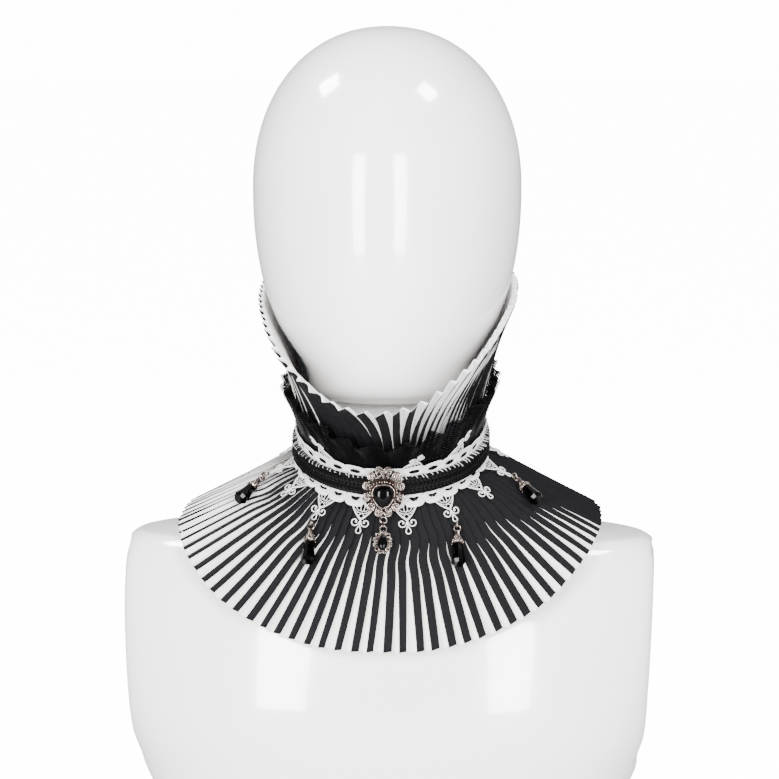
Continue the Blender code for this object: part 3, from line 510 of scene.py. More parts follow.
def flounce_bend(angle, down):
    """Sideways wander of the fold lines where the shut pleats spring open, in radians."""
    turn = np.degrees(angle)
    open_here = np.exp(-((down - 0.037) / 0.011) ** 2)
    lean = 0.8 + 0.7 * np.sin(angle * 3.1 + 0.6) + 0.5 * np.sin(angle * 7.3)
    pushed = 1.6 * np.exp(-((turn + 38) / 9) ** 2) - 1.3 * np.exp(-((turn - 40) / 10) ** 2)
    pushed = pushed + 1.5 * np.exp(-((turn + 74) / 12) ** 2)
    wave = np.sin((down - 0.028) * 2 * math.pi / 0.030)
    left = 1 + 0.8 * np.exp(-((turn + 55) / 25) ** 2)
    return 0.0105 * left * open_here * (lean * wave + pushed)


def flounce_opens(turn, share):
    """Place of the fold line, the same all round: shut under the lace, open at the hem."""
    return np.interp(share, (0.0, 0.30, 0.37, 0.50, 0.70, 1.0),
                     (1.95, 1.78, 1.52, 1.27, 1.02, 0.72))


def flounce_slide(turn, share):
    """At the sides the printed band lies further over the fold, towards the hem."""
    side = np.clip((np.abs(turn) - 30) / 40, 0, 1) * np.clip((105 - np.abs(turn)) / 25, 0, 1)
    return np.where(turn < 0, 0.07, 0.14) * side * np.clip((share - 0.42) / 0.5, 0, 1)


trim = [printed_trim("printed_trim", True), printed_trim("trim_back", False)]
rows = np.concatenate([np.linspace(0.0015, 0.30, 15)[:-1], np.linspace(0.30, 1.0, 22)])
outer, uv, thick = pleated(flounce_base, 1.0, rows,
                           lambda angle, share: share * flounce_length(angle), fold_depth, False,
                           flounce_bend, flounce_opens, flounce_slide)
flounce = wall("pleated_flounce", outer, outer - grid_normals(outer, 1.0) * thick, uv, trim, 1.0)
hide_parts("lower_flounce")

# Stand. A second length of the same trim turned upside down, so the printed band now lies
# before the outer fold. It is sewn to the same band and stands by its own stiffness: upright
# at the band, then curving out, low under the chin and high behind the head.
RUFF_FLAT, RUFF_LEG = 0.0057, 0.027
# Points of the rim: angle in degrees, radius, z
RIM = np.array((
    (0, 0.1285, 0.2660),
    (10, 0.1265, 0.2700),
    (20, 0.1185, 0.2810),
    (30, 0.1090, 0.2925),
    (40, 0.0980, 0.3035),
    (50, 0.0880, 0.3105),
    (60, 0.0815, 0.3165),
    (80, 0.0725, 0.3255),
    (100, 0.0685, 0.3300),
    (120, 0.0670, 0.3340),
    (150, 0.0690, 0.3400),
    (180, 0.0720, 0.3440),
))


def ruff_base(angle, part):
    """Stand without folds: (1-t)² A + 2t(1-t) B + t² C from the band to the rim, with B right
    above A; below t = 0 it goes straight down the band."""
    angle, part = np.broadcast_arrays(np.asarray(angle, float), np.asarray(part, float))
    start = neck_point(angle) + np.array([0.0, 0.0, RUFF_FLAT])
    turn = np.degrees(np.abs(angle))
    radius = smooth_through(RIM[:, 0], RIM[:, 1], turn)
    end = np.stack([radius * np.sin(angle), -radius * np.cos(angle),
                    smooth_through(RIM[:, 0], RIM[:, 2], turn)], axis=-1)
    t = np.maximum(part, 0.0)[..., None]
    curve = ((1 - t) ** 2 * start + 2 * t * (1 - t) * (start + np.array([0.0, 0.0, RUFF_LEG]))
             + t * t * end)
    curve[..., 2] += 2 * RUFF_LEG * np.minimum(part, 0.0)
    return curve


def ruff_part(up):
    """Place on the stand's curve at a distance up from the sewing line, near the band."""
    return (up - RUFF_FLAT) / (2 * RUFF_LEG)


def on_ruff(angle, part, away):
    """Points and normals over the stand."""
    return lifted(ruff_base, -1.0, angle, part, away)


def ruff_bend(angle, part):
    """Fold lines sway a little near the band, where the net and lace press on them."""
    low = np.exp(-((part - 0.30) / 0.14) ** 2)
    return 0.010 * low * np.sin(angle * 5.0 + 0.8) + 0.006 * low * np.sin(angle * 13.0)


def ruff_opens(turn, share):
    """Place of the fold line: shut at the band and open at the rim, where it opens less on the
    left side and a little more at the centre front."""
    left = 0.42 * np.clip((-turn - 17) / 18, 0, 1) * np.clip((120 + turn) / 40, 0, 1)
    front = 0.24 * np.exp(-((turn + 7) / 11) ** 2)
    return np.interp(share, (0.0, 0.45, 0.62, 0.80, 1.0),
                     (1.90, 1.52, 1.26, 1.00, 0.76)) + left - front


def ruff_print_and_shade_slide(turn, share):
    """On the right the printed band also covers the short faces, except near the rim: partly print,
    partly painted shade of the shut pleats towards the net.
    """
    side = np.clip((turn - 12) / 24, 0, 1) * np.clip((115 - turn) / 25, 0, 1)
    return 0.30 * side * np.clip((0.78 - share) / 0.30, 0, 1)


RUFF_LENGTH = 0.104
rows = np.linspace(ruff_part(SEAM / 2), 1.0, 36)
# The stand's slide of the print darkens the short faces on the right towards the net: painted
# shade.
outer, uv, thick = pleated(ruff_base, -1.0, rows, lambda angle, share: share + 0 * angle,
                           fold_depth, True, ruff_bend, ruff_opens, ruff_print_and_shade_slide)
uv[..., 1] *= RUFF_LENGTH
trim[0] = printed_trim("printed_stand", True, STAND_WHITE_SHARE)
ruff = wall("pleated_stand", outer, outer + grid_normals(outer, 1.0) * thick, uv, trim, -1.0)
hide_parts("stand_ruff")

# Net ruffle. A doubled strip of stiff square nylon net, gathered onto the band in front of the
# stand. It is black, so that the stripes behind show only faintly, and its raw top edge stands
# out in soft waves.
NET_OFFSET, NET_WALL, NET_WAVES, NET_SWELL = 0.0020, 0.0011, 28, 0.0022
NET_CELL, NET_DENSE, NET_OPEN, NET_CLEAR = 0.0014, 0.66, 0.44, 0.0007
NET_THICK_TO, NET_THIN_FROM = 0.016, 0.034
LACE_TOP, UPPER_LACE_TOP, TRIM_GAP_DEG = 0.0045, 0.0128, 1.6


def net_away(angle, part):
    """Distance out from the stand: flat at the band, then growing waves, some larger."""
    free = np.clip((part - ruff_part(UPPER_LACE_TOP)) / 0.35, 0.0, 1.2) ** 1.2
    fold = np.sin(NET_WAVES * angle + 0.7 * np.sin(3 * angle)) + 0.25 * np.sin(61 * angle)
    return NET_OFFSET + free * NET_SWELL * (1.6 + fold)


def nylon_net(name, shift):
    """Net cut through by its alpha: threads where the place in a cell is near its edge."""
    made, tree, shader = principled(name, (0.0010, 0.0010, 0.0012), 0.40, Specular_IOR_Level=0.05)
    ways, threads = cut_place(tree), []
    share = spread(tree, ways[1], NET_DENSE, NET_OPEN, NET_THICK_TO, NET_THIN_FROM)
    for way in ways:
        cell = maths(tree, "DIVIDE", maths(tree, "ADD", way, shift), NET_CELL)
        threads.append(maths(tree, "LESS_THAN", maths(tree, "FRACT", cell), share))
    both = maths(tree, "MAXIMUM", *threads)
    join(tree, shader, Alpha=both, Normal=bumped(tree, both, 0.5, 0.0004))
    return made


reach = math.pi - math.radians(TRIM_GAP_DEG)
angles = np.linspace(-reach, reach, NET_WAVES * 24 + 1)[None, :]
part = np.linspace(ruff_part(LACE_TOP), 0.5, 30)[:, None]
part = part + 0.012 * np.clip(part / 0.5, 0, 1) * np.sin(17 * angles + 2 * np.sin(4 * angles))
away = net_away(angles, part) + NET_CLEAR
outer, normal = on_ruff(angles, part, away + NET_WALL)
inner, _ = on_ruff(angles, part, away)
step = np.linalg.norm(np.diff(outer, axis=1), axis=-1)
across = np.concatenate([np.zeros((len(part), 1)), np.cumsum(step, axis=1)], axis=1)
step = np.linalg.norm(np.diff(outer, axis=0), axis=-1)
along = np.concatenate([np.zeros((1, angles.size)), np.cumsum(step, axis=0)])
net = wall("net_frill", outer, inner, np.stack([across, along], axis=-1),
           [nylon_net("nylon_net", 0.0), nylon_net("nylon_net_under", 0.0006)], -1.0)
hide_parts("net_ruffle")

# Guipure lace, below and above the braid. It is machine embroidered in thick white thread on a
# backing that is then dissolved: satin scallops with a crescent opening in each, and at every
# second cusp a heart-shaped net, a curled trefoil and a small loop, all of raised cord.
LACE_WALL, REPEAT_DEG = 0.0010, 24.0
SCALLOP_HALF, LACE_REST = 0.00586, 0.0032
LACE_END_DEG = 180.0 - TRIM_GAP_DEG
POINT_TOP, POINT_STRETCH = 0.0116, 0.97
HOLE_HALF, HOLE_AT, SCALLOP_AT, SLOT_AT, BAND_AT = 0.0027, 0.0079, 0.0100, 0.0086, 0.0079


def curve_through(points, steps, closed=False):
    """Catmull-Rom curve: (2b + (c-a)t + (2a-5b+4c-d)t² + (3b-a-3c+d)t³) / 2 from b to c."""
    p = np.asarray(points, float)
    p = (np.vstack([p[-1], p, p[:2]]) if closed
         else np.vstack([2 * p[0] - p[1], p, 2 * p[-1] - p[-2]]))
    t = np.linspace(0, 1, steps, endpoint=False)[None, :, None]
    a, b, c, d = (p[k:len(p) - 3 + k][:, None] for k in range(4))
    line = (2 * b + (c - a) * t + (2 * a - 5 * b + 4 * c - d) * t ** 2
            + (3 * b - a - 3 * c + d) * t ** 3) / 2
    line = line.reshape(-1, p.shape[1])
    return line if closed else np.vstack([line, p[-2]])


def capped(rows, columns, flip=False):
    """Faces round a body of rows, closed by one face at each end."""
    first = list(range(columns))
    last = [k + (rows - 1) * columns for k in first]
    faces = quads(rows, columns, wrap=True, flip=flip).tolist()
    return faces + ([first, last[::-1]] if flip else [first[::-1], last])


def tube(path, normal, width, height, sides=8, closed=False):
    """Tube round a path: path + b w cos(t) + n h sin(t), with b = tangent x n; width and
    height are half sizes, one value or one a point."""
    path = np.asarray(path, float)
    tangent = (np.roll(path, -1, 0) - np.roll(path, 1, 0)) if closed else np.gradient(path, axis=0)
    normal = np.broadcast_to(normal, path.shape)
    aside = unit(np.cross(unit(tangent), normal))
    turn = full_turn(sides)[None, :, None]
    width, height = (np.broadcast_to(size, len(path))[:, None, None] for size in (width, height))
    points = (path[:, None] + aside[:, None] * width * np.cos(turn)
              + normal[:, None] * height * np.sin(turn))
    count = len(path)
    faces = ((quads(count + 1, sides, wrap=True) % (count * sides)).tolist() if closed
             else capped(count, sides))
    length = np.concatenate([[0.0], np.cumsum(np.linalg.norm(np.diff(path, axis=0), axis=1))])
    uv = np.stack(np.broadcast_arrays(length[:, None],
                                      np.arange(sides)[None, :] / sides * 0.003), axis=-1)
    return points.reshape(-1, 3), faces, uv.reshape(-1, 2)


def gather(shapes):
    """One set of points, faces and UVs from many."""
    starts = np.cumsum([0] + [len(point) for point, _, _ in shapes])
    faces = [[v + start for v in f] for (_, face, _), start in zip(shapes, starts) for f in face]
    return (np.concatenate([point for point, _, _ in shapes]), faces,
            np.concatenate([uv for _, _, uv in shapes]))


def put_all(name, shapes, finishes, ground=0, **more):
    """Mesh object of many shapes, of which all after the ground take the last finish."""
    points, faces, uv = gather(shapes)
    if ground:
        more["which"] = np.arange(len(faces)) >= sum(len(shape[1]) for shape in shapes[:ground])
    return put(name, points, faces, finishes, uv=uv, **more)


def squeeze_end(angle_deg):
    """Angles past the last whole scallop are drawn in so the lace stops at its end."""
    last = 180.0 - REPEAT_DEG / 2
    over = np.maximum(np.abs(angle_deg) - last, 0.0)
    return angle_deg - np.sign(angle_deg) * over * (180.0 - LACE_END_DEG) / (180.0 - last)


def below(angle_deg, x, down, away):
    """Place on the flounce, x metres to the side of an angle; gives points and normals."""
    angle = math.radians(angle_deg)
    radius = np.hypot(*np.moveaxis(flounce_base(angle, down), -1, 0)[:2])
    turned = np.radians(squeeze_end(angle_deg + np.degrees(x / radius)))
    return on_flounce(turned, down, away)


def above(angle_deg, x, up, away):
    """Place on the stand over the net, x metres to the side of an angle."""
    part = ruff_part(up)
    angle = math.radians(angle_deg)
    radius = np.hypot(*np.moveaxis(ruff_base(angle, part), -1, 0)[:2])
    turned = np.radians(squeeze_end(angle_deg + np.degrees(x / radius)))
    lean = 0.10 * (up - LACE_TOP) + 0.30 * np.maximum(0.0, up - 0.010)
    return on_ruff(turned, part, away + lean)


def satin_ring(place, angle_deg, hole, edge, wrap=56, across=12):
    """Satin stitch round an opening: between the hole's curve h and the edge's curve e the
    place is h + (e - h)(1 - cos t)/2 and the height is rest + thickness (0.55 + 0.5 a), with
    a = sin t to the power 0.55 and its sign kept."""
    turn, over = full_turn(wrap)[:, None], full_turn(across)[None, :]
    mix = (1 - np.cos(over)) / 2
    (hx, hd), (ex, ed) = hole(turn), edge(turn)
    height = LACE_REST + LACE_WALL * (0.55 + 0.50 * power(np.sin(over), 0.55))
    points, _ = place(angle_deg, hx + (ex - hx) * mix, hd + (ed - hd) * mix, height)
    faces = quads(wrap + 1, across, wrap=True) % (wrap * across)
    uv = np.stack(np.broadcast_arrays(turn * 0.0042, mix * 0.004), axis=-1)
    return points.reshape(-1, 3), faces.tolist(), uv.reshape(-1, 2)


def power(value, exponent):
    """Signed power, which squares off a circle's curve."""
    return np.sign(value) * np.abs(value) ** exponent


def lower_hole(turn):
    """Crescent: an arc below, and above it the braid's side with a small swelling."""
    x, sag = HOLE_HALF * np.cos(turn), np.sin(turn)
    swelling = 0.0008 * np.exp(-(x / 0.0008) ** 2)
    return x, HOLE_AT + np.where(sag > 0, 0.0035 * sag, -0.0003 * np.abs(sag) + swelling)


def lower_edge(turn):
    """Scallop: a flat arc below and the straight sewn side above."""
    sag = np.sin(turn)
    down = np.where(sag > 0, 0.0049 * np.abs(sag) ** 0.9, -0.0055 * np.abs(sag) ** 0.4)
    return SCALLOP_HALF * power(np.cos(turn), 0.55), SCALLOP_AT + down


def upper_hole(turn):
    """Slot just above the braid."""
    return 0.0029 * np.cos(turn), SLOT_AT + 0.0013 * np.sin(turn)


def upper_edge(turn):
    """Band with a gently scalloped top and a straight foot."""
    rise = np.sin(turn)
    x = SCALLOP_HALF * power(np.cos(turn), 0.5)
    top = 0.0045 * np.abs(rise) ** 0.35 + 0.0008 * (1 - (x / SCALLOP_HALF) ** 2)
    return x, BAND_AT + np.where(rise > 0, top, -0.0022 * np.abs(rise) ** 0.4)


# Cords of one lace point: half width in mm, closed or not, mirrored or not, then x and y in mm
CORDS = (
    (0.48, False, False, ((-5.9, 0.5), (-3.0, -0.4), (0.0, -1.5), (3.0, -0.4), (5.9, 0.5))),
    (0.35, False, True, ((0.0, 11.3), (-1.9, 9.3), (-4.0, 6.4), (-5.7, 3.3), (-6.4, 1.0),
                         (-5.9, -0.6))),
    (0.20, True, False, ((0.0, 0.6), (0.95, 2.6), (0.85, 4.8), (0.0, 6.0), (-0.85, 4.8),
                         (-0.95, 2.6))),
    (0.20, True, True, ((-3.3, 0.8), (-1.9, 1.6), (-1.0, 3.6), (-1.2, 5.5), (-2.7, 4.7),
                        (-3.7, 2.6))),
    (0.20, False, True, ((0.0, 7.1), (-2.1, 6.6), (-4.2, 5.0), (-5.9, 2.5))),
    (0.20, False, True, ((0.0, 7.0), (-1.5, 8.6), (0.0, 10.4))),
    (0.18, False, True, ((-1.4, 8.5), (-2.5, 8.2))),
    (0.18, False, True, ((-2.2, 6.5), (-2.9, 7.8))),
    (0.18, False, True, ((-3.6, 5.4), (-4.3, 6.1))),
    (0.18, False, True, ((-3.5, 2.2), (-5.4, 3.0))),
    (0.35, False, True, ((0.0, 11.0), (-0.5, 12.9), (-1.6, 14.8), (-3.3, 15.0), (-4.4, 13.6),
                         (-4.2, 12.0), (-2.9, 11.2), (-1.9, 11.9), (-2.2, 12.8))),
    (0.35, False, False, ((0.0, 10.9), (0.0, 15.0))),
    (0.34, True, False, ((0.0, 14.8), (0.85, 16.6), (1.25, 18.2), (0.8, 19.3), (0.0, 19.6),
                         (-0.8, 19.3), (-1.25, 18.2), (-0.85, 16.6))),
)
KNOB_RADIUS, KNOB_PLACE, CORD_REST = 0.00065, (-2.1, 12.7), 0.0006
STITCH_WIDTH, STITCH_SLANT = 0.00042, 1500.0


def ball(centre, radius, forward, rings=6, sides=8, flat=1.0):
    """Ball: centre + r (cos a (u cos t + v sin t) + flat sin a n)."""
    forward = Vector(forward).normalized()
    first = forward.orthogonal().normalized()
    u, v, n = np.array(first), np.array(forward.cross(first)), np.array(forward)
    lat = np.linspace(-math.pi / 2, math.pi / 2, rings + 1)[1:-1][:, None, None]
    turn = full_turn(sides)[None, :, None]
    points = (np.asarray(centre) + radius * (np.cos(lat) * (u * np.cos(turn) + v * np.sin(turn))
                                             + flat * np.sin(lat) * n)).reshape(-1, 3)
    ends = np.asarray(centre) + radius * flat * np.array([-n, n])
    count = len(points)
    faces = quads(rings - 1, sides, wrap=True).tolist()
    k = np.arange(sides)
    low = np.stack([(k + 1) % sides, k, np.full(sides, count)], axis=-1)
    high = np.stack([count - sides + k, count - sides + (k + 1) % sides,
                     np.full(sides, count + 1)], axis=-1)
    points = np.concatenate([points, ends])
    return points, faces + low.tolist() + high.tolist(), points[:, :2] * 0.0


def lace_point(place, angle_deg, top=POINT_TOP, scale=1.0, lift=0.0):
    """The cords and knobs of one hanging point, laid on a surface by its place function."""
    shapes = []
    size = np.array((0.001, 0.001 * POINT_STRETCH)) * scale
    for half_width, closed, mirrored, points in CORDS:
        line = curve_through(points, 5, closed) * size
        for flip in (1, -1) if mirrored else (1,):
            path, normal = place(angle_deg, flip * line[:, 0], top + line[:, 1],
                                 LACE_REST + CORD_REST + lift)
            shapes.append(tube(path, normal, half_width * 0.001 * scale,
                               min(half_width, 0.55) * 0.0010 * scale, closed=closed))
    x, y = KNOB_PLACE * size
    for flip in (1, -1):
        centre, normal = place(angle_deg, np.array([flip * x]), np.array([top + y]),
                               LACE_REST + CORD_REST + lift)
        shapes.append(ball(centre[0], KNOB_RADIUS * scale, normal[0], flat=0.7))
    return shapes


def satin_thread():
    """White embroidery thread: fine ridges along each stitch, and a colour that is darker where the
    fuzz of the bump is low, painted shade in its hollows.
    """
    made, tree, shader = principled("lace_thread", (0.80, 0.785, 0.77), 0.55, Sheen_Weight=0.25,
                                    Sheen_Roughness=0.4, Specular_IOR_Level=0.4)
    u, v = cut_place(tree)
    turn = maths(tree, "ADD", maths(tree, "MULTIPLY", u, 2 * math.pi / STITCH_WIDTH),
                 maths(tree, "MULTIPLY", v, STITCH_SLANT))
    fuzz = noise(tree, 1400.0, 3.0)
    height = maths(tree, "ADD", maths(tree, "SINE", turn), fuzz)
    join(tree, shader, Normal=bumped(tree, height, 0.35, 0.0002),
         # Painted shade: the thread is darker where the fuzz noise, which also lowers the bump, is
         # low.
         Base_Color=mixed(tree, spread(tree, fuzz, 0.0, 1.0, 0.3, 0.7), (0.46, 0.45, 0.44, 1),
                          (0.74, 0.73, 0.72, 1)))
    return made


lace_white = satin_thread()
shapes = []
for k in range(30):
    shapes.append(satin_ring(below, REPEAT_DEG / 2 * (k - 14.5), lower_hole, lower_edge))
for k in range(14):
    shapes += lace_point(below, REPEAT_DEG * (k - 6.5))
lace = put_all("guipure_lower", shapes, [lace_white])
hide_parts("lace_lower")

UPPER_POINTS_DEG, UPPER_POINT_TOP, UPPER_POINT_SCALE = (-36.0, 16.0, 44.0), 0.0116, 0.8
COMB_STEP_DEG, COMB_TOP, COMB_LEAN, COMB_DROP, COMB_UNEVEN = 3.0, 0.0078, 0.0009, 0.0018, 0.0004
COMB_WIDTH, COMB_THICK = 0.00042, 0.0003
shapes = []
for k in range(30):
    shapes.append(satin_ring(above, REPEAT_DEG / 2 * (k - 14.5), upper_hole, upper_edge))
for centre in UPPER_POINTS_DEG:
    shapes += lace_point(above, centre, UPPER_POINT_TOP, UPPER_POINT_SCALE, 0.0003)
for k in range(int(2 * LACE_END_DEG / COMB_STEP_DEG)):
    at = -LACE_END_DEG + (k + 0.5) * COMB_STEP_DEG + dice.normal() * 0.35
    lean, drop = COMB_LEAN + COMB_UNEVEN * dice.normal(), COMB_DROP + COMB_UNEVEN * dice.normal()
    along = np.linspace(0, 1, 6)
    out = 0.0046 + 0.0034 * np.clip(np.linspace(-0.3, 1.6, 6), 0, 1)
    path, normal = above(at, lean * along ** 1.5, COMB_TOP - 1.5 * drop * along ** 0.9, out)
    shapes.append(tube(path, normal, COMB_WIDTH * (1 - 0.75 * along),
                       COMB_THICK * (1 - 0.7 * along), sides=6))
lace = put_all("guipure_upper", shapes, [lace_white])
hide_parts("lace_upper")

# Neck braid. Black gimp, 11 mm wide: round cotton strands plaited flat, so that they lie in
# four rows of slanting stitches. It is hand sewn over the raw edges of the trims and the lace.
BRAID_OFFSET, BRAID_WALL, BRAID_WIDTH = 0.0052, 0.0020, 0.0114
STITCH_PITCH, STITCH_ROWS, STITCH_RISE = 0.0024, 4, 0.0010
BRAID_FOOT, BRAID_HEAD = -0.40, 0.53


def braid_rise(turn_length, across):
    """Height of the strands: |sin(pi (s / pitch + slant))| in each of the rows, falling to
    the grooves between the rows."""
    lane = (across - BRAID_FOOT) / (BRAID_HEAD - BRAID_FOOT) * STITCH_ROWS
    row = np.floor(np.clip(lane, 0, STITCH_ROWS - 1e-6))
    inside = lane - row
    way = np.where(row % 2 == 0, 1.0, -1.0)
    strand = np.abs(np.sin(math.pi * (turn_length / STITCH_PITCH + way * 0.8 * inside)))
    groove = np.sqrt(np.clip(1 - (2 * inside - 1) ** 4, 0, 1))
    return strand ** 0.6 * groove


def black_gimp():
    """Dull black cotton with a slight sheen on the strands; its colour is lighter where the fuzz of
    the bump is high, painted light and shade on the fibres.
    """
    made, tree, shader = principled("black_gimp", (0.002, 0.002, 0.002), 0.36,
                                    Specular_IOR_Level=0.05)
    fuzz = noise(tree, 2200.0, 2.0)
    join(tree, shader, Normal=bumped(tree, fuzz, 0.4, 0.0003),
         # Painted light and shade: the colour follows the fuzz noise that also raises the bump.
         Base_Color=mixed(tree, fuzz, (0.0004, 0.0004, 0.0005, 1), (0.0024, 0.0023, 0.0024, 1)))
    return made


def ring_points(angle, across, radius):
    """Points on rings that follow the tilted band."""
    z = band_height(angle) + across
    return np.stack(np.broadcast_arrays(radius * np.sin(angle), -radius * np.cos(angle), z),
                    axis=-1)


angles = np.linspace(-reach, reach, 1501)[None, :]
across = np.linspace(BRAID_FOOT, BRAID_HEAD, 25)[:, None]
inner_radius = ROOT_RADIUS + BRAID_OFFSET
crowned = 0.45 + 0.30 * np.sqrt(np.clip(1 - (2.1 * (across - 0.065)) ** 4, 0, 1))
rise = crowned * BRAID_WALL + STITCH_RISE * braid_rise(angles * inner_radius, across)
outer = ring_points(angles, across * BRAID_WIDTH, inner_radius + rise)
inner = ring_points(angles, across * BRAID_WIDTH, inner_radius + 0 * rise)
braid_uv = np.stack(np.broadcast_arrays(angles * inner_radius, across * BRAID_WIDTH), axis=-1)
braid = wall("gimp_braid", outer, inner, braid_uv, [black_gimp()], -1.0)
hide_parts("neck_braid")

# Back closing. A flat hook plate of old silver joins the two ends of the braid, with its edges
# turned over a bead of wire and two rivets that hold the hook behind.
# The second colour, brownish black, is for the plates behind the filigree: painted shade of the
# hollows, with tarnish.
SILVER_LIGHT, SILVER_SHADE_AND_TARNISH, SILVER_DARK = ((0.36, 0.30, 0.27, 1), (0.030, 0.020, 0.016, 1),
                                          (0.012, 0.008, 0.006, 1))


def tarnish_and_shade_group():
    """Mask from 0, bright, to 1, dark: the upper part of a noise."""
    group, given = group_of("tarnish_and_shade", ("Place", "Vector", "INPUT"), ("Scale", "Float", "INPUT"),
                            ("Mask", "Float", "OUTPUT"))
    spots = noise(group, given["Scale"], 3.0, given["Place"])
    join(group, node(group, "NodeGroupOutput"), Mask=spread(group, spots, 0.0, 1.0, 0.46, 0.66))
    return group


tarnish_and_shade = tarnish_and_shade_group()


def old_silver(name, bright):
    """Silver plate, mixed with dark brown and made rougher where a noise is high: tarnish, and
    painted shade in place of the shade of its hollows.
    """
    made, tree, shader = principled(name, bright[:3], 0.24, Metallic=1.0)
    place = node(tree, "ShaderNodeTexCoord").outputs["Object"]
    mask = node(tree, "ShaderNodeGroup", {"Place": place, "Scale": 520.0},
                node_tree=tarnish_and_shade).outputs["Mask"]
    # Painted shade with tarnish: dark brown in the random patches of the noise mask.
    join(tree, shader, Base_Color=mixed(tree, mask, bright, SILVER_DARK),
         Roughness=spread(tree, mask, 0.18, 0.48))
    return made


silver = old_silver("old_silver", SILVER_LIGHT)
shade_and_tarnish_silver = old_silver("silver_shade_and_tarnish", SILVER_SHADE_AND_TARNISH)
CLASP_HALF_WIDTH, CLASP_HALF_HEIGHT = 0.0060, 0.0035
clasp_radius = inner_radius + BRAID_WALL + SEAM
turn = full_turn(48)
oval = np.stack([CLASP_HALF_WIDTH * power(np.cos(turn), 0.35),
                 CLASP_HALF_HEIGHT * power(np.sin(turn), 0.35)], axis=-1)
scales = np.array((1.0, 1.0, 0.97, 0.80, 0.01))
heights = np.array((0.0, 0.0006, 0.0010, 0.0007, 0.0007))
bent = math.pi + oval[None, :, 0] * scales[:, None] / clasp_radius
plate = ring_points(bent, oval[None, :, 1] * scales[:, None], clasp_radius + heights[:, None])
shapes = [(plate.reshape(-1, 3), capped(5, 48), np.zeros((240, 2)))]
for side in (-1, 1):
    centre = ring_points(np.array(math.pi + side * 0.0035 / clasp_radius), np.array(0.0),
                         clasp_radius + 0.0007)
    shapes.append(ball(centre, 0.0007, (0.0, 1.0, 0.0), flat=0.42))
clasp = put_all("hook_plate", shapes, [silver])
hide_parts("back_clasp")

# Brooch. A cast and plated filigree mount of old silver: a ring of wire loops with glass stones,
# a pearled ring, and a smooth black cabochon held by a plain collar. Its plate behind the
# filigree is brownish black: painted shade of the hollows, with their tarnish. A post behind it
# goes through the braid, and a ring at its foot carries the drop.
BROOCH_Z, BROOCH_BACK, BROOCH_TILT = 0.2096, 0.0601, math.radians(4.8)
BROOCH_HALF_WIDTH, BROOCH_HALF_HEIGHT, LOBE_SHARE = 0.0118, 0.0141, 0.055
RING_MAJOR, RING_WIRE, RING_STEP, LUG_OVERLAP = 0.0019, 0.00045, 0.0026, 0.0004
LOOP_FORWARD, STONE_DROP, POST_RADIUS = 0.0010, 0.0022, 0.0034
LOOPS, LOOP_INSET, LOOP_LIFT = 12, 0.0017, 0.0003


def brooch_place(x, forward, z):
    """Point of the brooch, whose foot stands out a little."""
    x, forward, z = np.broadcast_arrays(*(np.asarray(v, float) for v in (x, forward, z)))
    y = -BROOCH_BACK - forward * math.cos(BROOCH_TILT) + z * math.sin(BROOCH_TILT)
    return np.stack([x, y, BROOCH_Z + z * math.cos(BROOCH_TILT)
                     + forward * math.sin(BROOCH_TILT)], axis=-1)


brooch_face = np.array([0.0, -math.cos(BROOCH_TILT), math.sin(BROOCH_TILT)])


def lobed(half_width, half_height, lobes, count, share=LOBE_SHARE):
    """Oval with a cosine row of lobes."""
    turn = full_turn(count)
    lobe = 1 + share * np.cos(lobes * turn)
    return half_width * lobe * np.cos(turn), half_height * lobe * np.sin(turn)


def soft_triangle(half_width, half_height, count):
    """Oval bulged by cos 3t into three soft corners, one pointing down."""
    turn = full_turn(count)
    bulge = 1 + 0.075 * np.cos(3 * (turn + math.pi / 2))
    return half_width * bulge * np.cos(turn), half_height * bulge * np.sin(turn)


def pear(half_width, half_height, count):
    """Oval narrowed towards its top."""
    turn = full_turn(count)
    narrow = 1 - 0.55 * ((1 + np.sin(turn)) / 2) ** 2
    return half_width * narrow * np.cos(turn), half_height * np.sin(turn)


def stacked(outline, rows, place):
    """Outline repeated at rows of (scale, forward), closed at the back and the front."""
    scale, forward = np.array(rows).T[:, :, None]
    x, z = outline
    points = place(x[None, :] * scale, forward + 0 * x[None, :], z[None, :] * scale)
    return (points.reshape(-1, 3), capped(len(rows), len(x), flip=True),
            np.zeros((len(rows) * len(x), 2)))


def dome(outline, foot, rise, place, count):
    """Cabochon: the outline shrinks as cos t to the power 0.8, and the height grows as the
    square root of sin t."""
    t = np.linspace(0, math.pi / 2, count)[1:-1]
    rows = [(max(math.cos(a) ** 0.8, 0.02), foot + rise * math.sin(a) ** 0.5) for a in t]
    return stacked(outline, [(1.0, foot)] + rows, place)


def hoop(centre, normal, radius, wire, around=20, sides=8, squash=1.0):
    """Ring of round wire."""
    normal = unit(np.asarray(normal, float))
    first = unit(np.cross((0.31, 0.17, 0.93), normal))
    turn = full_turn(around)[:, None]
    path = np.asarray(centre) + radius * (first * np.cos(turn)
                                          + np.cross(normal, first) * squash * np.sin(turn))
    return tube(path, normal, wire, wire, sides=sides, closed=True)


